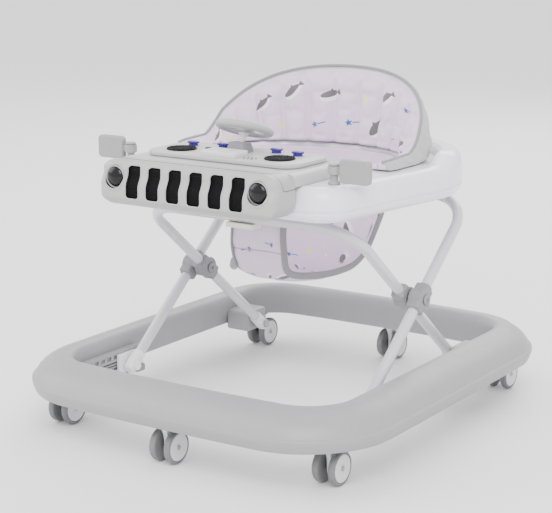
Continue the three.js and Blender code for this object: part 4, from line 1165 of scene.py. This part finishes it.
def mirrors():
    for side, sign in SIDES.items():
        low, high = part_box(f"mirror_post_{side}")
        centre = (low + high) / 2
        height = (high.z - low.z) / MM
        post = [(0, 0), (8.4, 0), (8.5, 1.6), (7.4, 3.6), (5.7, 4.6), (5.4, 6), (5.4, height - 2.9),
                (6.2, height - 2.7), (7.7, height - 2.5), (8, height - 1), (7.2, height - 0.1), (0, height)]
        shape = Shape().add(lathe(in_mm(post), 36), 0, at(centre.x, centre.y, low.z))
        piece(f"post_{side}", shape, "tray", [MIRROR_GREY], [f"mirror_post_{side}"])
        head_low, head_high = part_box(f"mirror_{side}")
        middle = (head_low + head_high) / 2
        near_x, far_x = sign * 185 * MM, head_low.x if sign < 0 else head_high.x
        x0, x1 = sorted((near_x, far_x))
        half_z = (head_high.z - head_low.z) / 2
        shape = Shape()
        outline = round_rectangle(x0, x1, -half_z, half_z, 6 * MM, 8, 6)
        depth = 6.3 * MM
        rings = []
        for y, step in ((-depth, 3.4), (-depth, 1.6), (-depth + 0.8 * MM, 0.5), (-depth + 2.2 * MM, 0),
                        (depth - 3.4 * MM, 0), (depth - 3 * MM, 0.4), (depth - 3 * MM, 2.4), (depth - 1.2 * MM, 3.0),
                        (depth - 0.4 * MM, 4.0), (depth, 6)):
            rings.append([Vector((p.x, centre.y + y, middle.z + p.y)) for p in inset(outline, step * MM)])
        shape.add(loft(rings))
        face = inset(outline, 3.8 * MM)
        shape.add(loft([[Vector((p.x, centre.y + depth + dy, middle.z + p.y)) for p in inset(face, d)] for dy, d in
                        ((-0.6 * MM, 2.4 * MM), (0.15 * MM, 2.6 * MM))]), 1)
        arm = sorted((sign * 180.2 * MM, near_x + sign * 2 * MM))
        low_corner = (arm[0], centre.y - 3.8 * MM, middle.z - 4.4 * MM)
        shape.add(rounded_box(low_corner, (arm[1], centre.y + 3.8 * MM, middle.z + 4.4 * MM), 1.2 * MM))
        collar = [(6.15, -5.6), (8.4, -5.6), (9, -5.0), (9, 5.0), (8.4, 5.6), (6.15, 5.6), (6.15, -5.6)]
        shape.add(lathe(in_mm(collar), 36), 0, at(centre.x, centre.y, middle.z))
        looks = [MIRROR_GREY, GLOSS_SILVER]
        piece(f"mirror_head_{side}", shape, f"mirror_body_{side}", looks, [f"mirror_{side}"])


GLOSS_SILVER = moulded("gloss_silver", (0.55, 0.56, 0.58), 0.12, grain=0.1, coat=0.8)
mirrors()


# ---- Brackets, racks, shoes and latches ----


def dress(node, material, width=0.8 * MM):
    """A CAD node whose shape is right: eased edges and its own material."""
    shown = frame["nodes"][node]
    shown.data.materials.clear()
    shown.data.materials.append(material)
    ease = shown.modifiers.new("eased", "BEVEL")
    ease.width = width
    ease.segments = 2
    ease.limit_method = "ANGLE"
    ease.angle_limit = math.radians(40)


for side in SIDES:
    dress(f"rack_{side}", RING_GREY, 0.35 * MM)
    dress(f"rear_bracket_{side}", RING_GREY, 1.2 * MM)
    dress(f"rear_pin_{side}", PLAIN_STEEL, 0.3 * MM)
    dress(f"shoe_{side}", FORK_WHITE, 0.5 * MM)
    dress(f"latch_{side}", HINGE_GREY, 0.8 * MM)
dress("front_track", CREAM, 0.8 * MM)


# ---- Soft seat ----

PAD = {"half": 192 * MM, "inner_half": 148 * MM, "start": 45 * MM, "tip": -38 * MM, "depth": 134 * MM,
       "inner_depth": 104 * MM}
pad_low, pad_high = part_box("backrest_pad")
PAD_CHANNELS = 15


def bezier(points, t):
    """A point on the Bezier curve of any number of control points."""
    while len(points) > 1:
        points = [a.lerp(b, t) for a, b in zip(points, points[1:])]
    return points[0]


def height_at(curves, across):
    """The height of a curve, given as Bezier pieces in the plane, over a place along it."""
    for points in curves:
        if across > points[-1].x:
            continue
        low, high = 0, 1
        for _ in range(24):
            middle = (low + high) / 2
            low, high = (middle, high) if bezier(points, middle).x < across else (low, middle)
        return bezier(points, low).y
    return curves[-1][-1].y


def pad_top(x, y):
    """The pad's edge over a point in plan: domed from side to side, falling away forwards to a blunt tip."""
    base, top = pad_low.z, pad_high.z
    wide, rear, start = PAD["half"] + 5 * MM, PAD["start"] + PAD["depth"], PAD["start"]
    tip = PAD["tip"]

    def curve(*points):
        return [Vector(point) for point in points]

    dome = [curve((-wide, base), (-wide, base + 95 * MM), (-0.6 * PAD["half"], top), (0, top))]
    wing_front, wing_rear = (tip + 14 * MM, base + 13 * MM), (start - 12 * MM, base + 15 * MM)
    shoulder = (start + 30 * MM, base + 50 * MM)
    side = [
        curve((tip - 1 * MM, base), (tip + 2 * MM, base + 12 * MM), wing_front),
        curve(wing_front, wing_rear),
        curve(wing_rear, (start + 8 * MM, base + 23 * MM), shoulder),
        curve(shoulder, (start + 70 * MM, top - 20 * MM), (rear + 10 * MM, top + 4 * MM)),
    ]
    return max(base + 13 * MM, min(height_at(dome, -abs(x)), height_at(side, max(y, tip))))


def backrest():
    """The padded backrest before it is swollen: a closed horseshoe whose inner face leans out like a bowl."""
    arc, straight, up = 120, 16, 22
    around = arc + 2 * straight
    base = pad_low.z + 1 * MM
    rings = []
    for i in range(around + 1):
        angle = math.pi * min(1, max(0, (i - straight) / arc))
        c, s = math.cos(angle), math.sin(angle)
        ahead = max(0, straight - i, i - straight - arc) / straight * (PAD["start"] - PAD["tip"])
        outside = Vector((PAD["half"] * c, PAD["start"] + PAD["depth"] * s - ahead))
        inside = Vector((PAD["inner_half"] * c, PAD["start"] + PAD["inner_depth"] * s - ahead))
        top = pad_top(outside.x, outside.y)
        section = [(0.02 + 0.66 * (k / up) ** 1.5, 0.97 * k / up) for k in range(up + 1)]
        section += [(0.76, 1.0), (0.86, 0.995)]
        section += [(1 - 0.10 * t**2, 0.96 * t) for t in [1 - k / (up - 2) for k in range(up - 1)]]
        blunt = min(1, 0.3 + 22 * min(i, around - i) / around)
        blunt = math.sqrt(1 - (1 - blunt) ** 2)
        ring = []
        for across, height in section:
            across = 0.5 + (across - 0.5) * blunt
            p = inside.lerp(outside, across)
            ring.append(Vector((p.x, p.y, base + (top - base) * height * (0.55 + 0.45 * blunt))))
        rings.append(ring)
    count = len(rings[0])
    length = math.pi * (PAD["inner_half"] + PAD["inner_depth"]) / 2 + 2 * (PAD["start"] - PAD["tip"])
    verts, faces = loft(rings, closed=True, ends=True)
    flat = [[((v // count) / around * length, (v % count) / up * 0.11) for v in face] for face in faces]
    made = piece("backrest_cushion", Shape().add((verts, faces, flat)), "tray", [SEAT_PRINT, BACKING],
                 ["backrest_pad"], crease=70)
    return made, rings, up, around


def swell(made, held, pressure, cap, frames=20):
    """Cloth simulation under pressure with the held vertices still. No point moves further than the cap."""
    before = [v.co.copy() for v in made.data.vertices]
    group = made.vertex_groups.new(name="held")
    for index, weight in held.items():
        group.add([index], weight, "REPLACE")
    modifier = made.modifiers.new("cloth", "CLOTH")
    settings = modifier.settings
    settings.quality = 6
    settings.mass = 0.25
    settings.tension_stiffness = 12
    settings.compression_stiffness = 4
    settings.shear_stiffness = 4
    settings.bending_stiffness = 0.4
    settings.vertex_group_mass = "held"
    settings.pin_stiffness = 1
    settings.use_pressure = True
    settings.uniform_pressure_force = pressure
    settings.effector_weights.gravity = 0
    settings.shrink_min = -0.06
    modifier.collision_settings.use_collision = False
    modifier.point_cache.frame_end = frames
    scene = bpy.context.scene
    for number in range(1, frames + 1):
        scene.frame_set(number)
    graph = bpy.context.evaluated_depsgraph_get()
    result = made.evaluated_get(graph).to_mesh()
    after = [v.co.copy() for v in result.vertices]
    made.evaluated_get(graph).to_mesh_clear()
    made.modifiers.clear()
    scene.frame_set(1)
    for vert, old, new in zip(made.data.vertices, before, after):
        step = new - old
        if step.length > cap:
            step = step.normalized() * cap
        vert.co = old + step


def subdivided(made, levels=1):
    modifier = made.modifiers.new("finer", "SUBSURF")
    modifier.levels = levels
    modifier.render_levels = levels
    apply_modifiers(made)
    made.data.shade_smooth()


def make_backrest():
    made, rings, up, around = backrest()
    mesh = made.data
    count = len(rings[0])
    held = {}
    for vert in mesh.vertices:
        i, k = divmod(vert.index, count)
        phase = i / around * PAD_CHANNELS
        seam = abs(phase - round(phase)) * around / PAD_CHANNELS
        height = k / up
        if k <= up:
            valley = math.exp(-(seam / 1.3) ** 2) * (1 - smoothstep(height, 0.45, 0.9))
            inward = Vector((vert.co.x, max(0, vert.co.y - PAD["start"]), 0)).normalized()
            low_part = smoothstep(vert.co.y, PAD["start"] - 20 * MM, PAD["start"] + 25 * MM)
            vert.co += inward * ((2 + 7 * low_part) * MM * valley)
            if valley > 0.5:
                held[vert.index] = 1.0
        if k in (0, up, up + 1, up + 2) or k >= count - 1 or i in (0, around):
            held[vert.index] = 1.0
    for polygon in mesh.polygons:
        spots = [v % count for v in polygon.vertices]
        if len(polygon.vertices) == 4 and min(spots) >= up:
            polygon.material_index = 1
        if len(polygon.vertices) == 4 and 0 in spots and max(spots) > up:
            polygon.material_index = 1
    swell(made, held, 6, 13 * MM)
    piping_line = [mesh.vertices[i * count + up + 1].co.copy() for i in range(around + 1)]
    subdivided(made)
    path = smooth_line(piping_line, 2)
    path = [Vector((min(pad_high.x, max(pad_low.x, p.x)), p.y, p.z + 0.6 * MM)) for p in path]
    cord = Shape().add(sweep(path, 2.3 * MM, 12))
    piece("backrest_piping", cord, "tray", [BINDING])


SEAM_HEIGHT = 0.258  # of the seam across the front of the seat bag
SLING = {"bottom": 205 * MM, "hole_x": 46 * MM, "hole": (-140 * MM, 68 * MM, 225 * MM, 326 * MM), "radius": 44 * MM}


def sling_rings():
    """The bag's rings from the tray's opening down to the crotch, as the CAD layers it, smoothed between."""
    under = TRAY_BOTTOM - 8 * MM
    deep = under - SLING["bottom"]
    front, rear, half = SEAT["front"], SEAT["rear"], SEAT["half"]

    def belly(z, width, y0, y1, radius):
        return level(trapezoid(y0, y1, width, width, radius, radius, steps=24, edges=14), z)

    def opening(smaller, z):
        return level(seat_outline(smaller, 24, 14), z)

    b = SLING["bottom"]
    key = [
        opening(3.4 * MM, TRAY_DECK - 6 * MM),
        opening(4.4 * MM, TRAY_BOTTOM + 3 * MM),
        belly(under, half - 10 * MM, front - 6 * MM, rear - 12 * MM, 90 * MM),
        belly(b + 0.6 * deep, half - 28 * MM, front - 17 * MM, rear - 34 * MM, 84 * MM),
        belly(b + 0.27 * deep, half - 42 * MM, front - 11 * MM, rear - 55 * MM, 72 * MM),
        belly(b + 0.07 * deep, half - 66 * MM, front + 8 * MM, rear - 80 * MM, 60 * MM),
        belly(b, half - 100 * MM, front + 38 * MM, rear - 110 * MM, 34 * MM),
    ]
    centre = sum(key[-1], Vector()) / len(key[-1])
    key.append([p.lerp(centre, 0.97) for p in key[-1]])
    columns = [smooth_line([ring[k] for ring in key], 9) for k in range(len(key[0]))]
    return [[column[j] for column in columns] for j in range(len(columns[0]))]


def in_leg_hole(p):
    y0, y1, z0, z1 = SLING["hole"]
    r = SLING["radius"]
    if abs(p.x) < SLING["hole_x"] or not (y0 < p.y < y1 and z0 < p.z < z1):
        return False
    dy = max(y0 + r - p.y, p.y - (y1 - r), 0)
    dz = max(z0 + r - p.z, p.z - (z1 - r), 0)
    return dy * dy + dz * dz < r * r


def boundary_loops(work):
    """The open edges of a bmesh, chained into closed loops of vertices."""
    left = {e for e in work.edges if e.is_boundary}
    loops = []
    while left:
        edge = min(left, key=lambda e: e.index)
        left.discard(edge)
        loop = [edge.verts[0], edge.verts[1]]
        while loop[-1] is not loop[0]:
            onward = sorted((e for e in loop[-1].link_edges if e in left), key=lambda e: e.index)
            if not onward:
                break
            left.discard(onward[0])
            loop.append(onward[0].other_vert(loop[-1]))
        loops.append(loop[:-1] if loop[-1] is loop[0] else loop)
    return loops


def sling():
    rings = sling_rings()
    across = len(rings[0])
    verts, faces = loft(rings, ends=False)
    faces.append(tuple((len(rings) - 1) * across + k for k in range(across)))
    lengths = [0]
    for a, b in zip(rings, rings[1:]):
        lengths.append(lengths[-1] + (a[0] - b[0]).length)
    flat = []
    for face in faces:
        columns = [v % across for v in face]
        wrapped = max(columns) - min(columns) > across / 2
        spots = []
        for v in face:
            k = v % across + (across if wrapped and v % across < across / 2 else 0)
            spots.append((k / across * 0.74, lengths[v // across]))
        flat.append(spots)
    kept = [n for n, face in enumerate(faces) if not in_leg_hole(sum((verts[v] for v in face), Vector()) / len(face))]
    shape = Shape().add((verts, [faces[n] for n in kept], [flat[n] for n in kept]))
    made = piece("seat_bag", shape, "tray", [SEAT_PRINT], ["seat_sling"], crease=80)
    work = bmesh.new()
    work.from_mesh(made.data)
    loose = [v for v in work.verts if not v.link_faces]
    bmesh.ops.delete(work, geom=loose, context="VERTS")
    work.verts.index_update()
    loops = [loop for loop in boundary_loops(work) if max(v.co.z for v in loop) < TRAY_DECK - 10 * MM]
    for _ in range(14):
        for loop in loops:
            smoothed = [(loop[i - 1].co + loop[i].co * 2 + loop[(i + 1) % len(loop)].co) / 4 for i in range(len(loop))]
            for vert, place in zip(loop, smoothed):
                vert.co = place
    edges = [[v.co.copy() for v in loop] for loop in loops]
    wrinkle(work)
    work.to_mesh(made.data)
    work.free()
    thick = made.modifiers.new("thickness", "SOLIDIFY")
    thick.thickness = 2.2 * MM
    thick.offset = -1
    subsurf = made.modifiers.new("finer", "SUBSURF")
    subsurf.levels = subsurf.render_levels = 1
    apply_modifiers(made)
    made.data.shade_smooth()
    corners = [tuple(f.vertices) for f in made.data.polygons]
    tree = BVHTree.FromPolygons([v.co.copy() for v in made.data.vertices], corners)
    hits = [tree.ray_cast(Vector((x * MM, -0.2, SEAM_HEIGHT)), Vector((0, 1, 0)))[0] for x in range(-44, 45, 4)]
    stitch = Shape().add(sweep([p for p in hits if p], 0.9 * MM, 8))
    piece("front_seam", stitch, "tray", [SEAT_PLAIN])
    for number, path in enumerate(edges):
        spread = [p.lerp((path[i - 1] + path[(i + 1) % len(path)]) / 2, 0.5) for i, p in enumerate(path)]
        ribbon = Shape().add(band(spread, 10.5 * MM, 2.6 * MM))
        piece(f"leg_binding_{number}", ribbon, "tray", [BINDING])


def band(path, width, thick):
    """A flat folded binding round a closed edge: a rounded strip that lies over both sides of it."""
    count = len(path)
    centre = sum(path, Vector()) / count
    rings = []
    for i in range(count):
        tangent = (path[(i + 1) % count] - path[i - 1]).normalized()
        outward = (path[i] - centre)
        outward = (outward - tangent * outward.dot(tangent)).normalized()
        normal = tangent.cross(outward)
        ring = []
        for k in range(12):
            a = 2 * math.pi * k / 12
            reach = squarer(math.cos(a), 0.6) * width * 0.5
            lift = squarer(math.sin(a), 0.8) * thick * 0.8
            ring.append(path[i] + outward * (reach + width * 0.22) + normal * lift)
        rings.append(ring)
    return loft(rings, wrap=True)


def wrinkle(work):
    """Soft folds: pleats below the tray's edge and drag lines that run towards the crotch."""
    for vert in work.verts:
        p = vert.co
        angle = math.atan2(p.y - 25 * MM, p.x)
        depth = (TRAY_DECK - p.z) / (TRAY_DECK - SLING["bottom"])
        fade = smoothstep(depth, 0.1, 0.35) * (1 - 0.6 * smoothstep(depth, 0.7, 1))
        fold = math.sin(angle * 9 + 0.8 * math.sin(p.z * 45)) * 2.2 + math.sin(angle * 17 + p.z * 60) * 1.1
        fold -= 2.6 * math.exp(-(((p.z - SEAM_HEIGHT) / 0.006) ** 2)) * (p.y < -0.03)
        outward = Vector((p.x, p.y - 25 * MM, 0))
        if outward.length > 5 * MM:
            vert.co = p + outward.normalized() * (fold * fade * MM)


make_backrest()
sling()


# ---- Floor, light and camera ----


def stage():
    floor_mesh = bpy.data.meshes.new("floor")
    size = 30
    corners = [(-size, -size, 0), (size, -size, 0), (size, size, 0), (-size, size, 0)]
    floor_mesh.from_pydata(corners, [], [(0, 1, 2, 3)])
    look = Look("floor_paint", (0.88, 0.88, 0.88), 0.7)
    look.tint(look.ranged(look.noise(1.5, 2), 0.4, 0.7, 0, 0.2), (0.86, 0.86, 0.865))
    floor_mesh.materials.append(look.finished())
    floor = bpy.data.objects.new("floor", floor_mesh)
    bpy.context.scene.collection.objects.link(floor)
    world = bpy.data.worlds.new("studio")
    world.use_nodes = True
    background = world.node_tree.nodes["Background"]
    background.inputs["Color"].default_value = (1.0, 1.0, 1.0, 1)
    background.inputs["Strength"].default_value = 1.75
    bpy.context.scene.world = world
    for name, place, size, power in (
        ("key", (1.6, -2.4, 2.8), 2.2, 120),
        ("fill", (-2.8, -1.2, 2.0), 2.6, 60),
        ("back", (-0.6, 2.8, 2.4), 2.4, 70),
    ):
        light = bpy.data.lights.new(name, "AREA")
        light.size = size
        light.energy = power
        lamp = bpy.data.objects.new(name, light)
        lamp.location = place
        lamp.rotation_euler = (Vector((0, 0, 0.25)) - Vector(place)).to_track_quat("-Z", "Y").to_euler()
        bpy.context.scene.collection.objects.link(lamp)


def camera():
    azimuth, elevation, distance = math.radians(33.62), math.radians(12.57), 2.36
    target = Vector((-0.0218, -0.0064, 0.2318))
    level_part = math.cos(elevation)
    away = Vector((math.sin(azimuth) * level_part, -math.cos(azimuth) * level_part, math.sin(elevation)))
    data = bpy.data.cameras.new("camera")
    data.lens = 101.9
    data.sensor_width = 36
    made = bpy.data.objects.new("camera", data)
    made.location = target + away * distance
    made.rotation_euler = (-away).to_track_quat("-Z", "Y").to_euler()
    bpy.context.scene.collection.objects.link(made)
    bpy.context.scene.camera = made


stage()
camera()
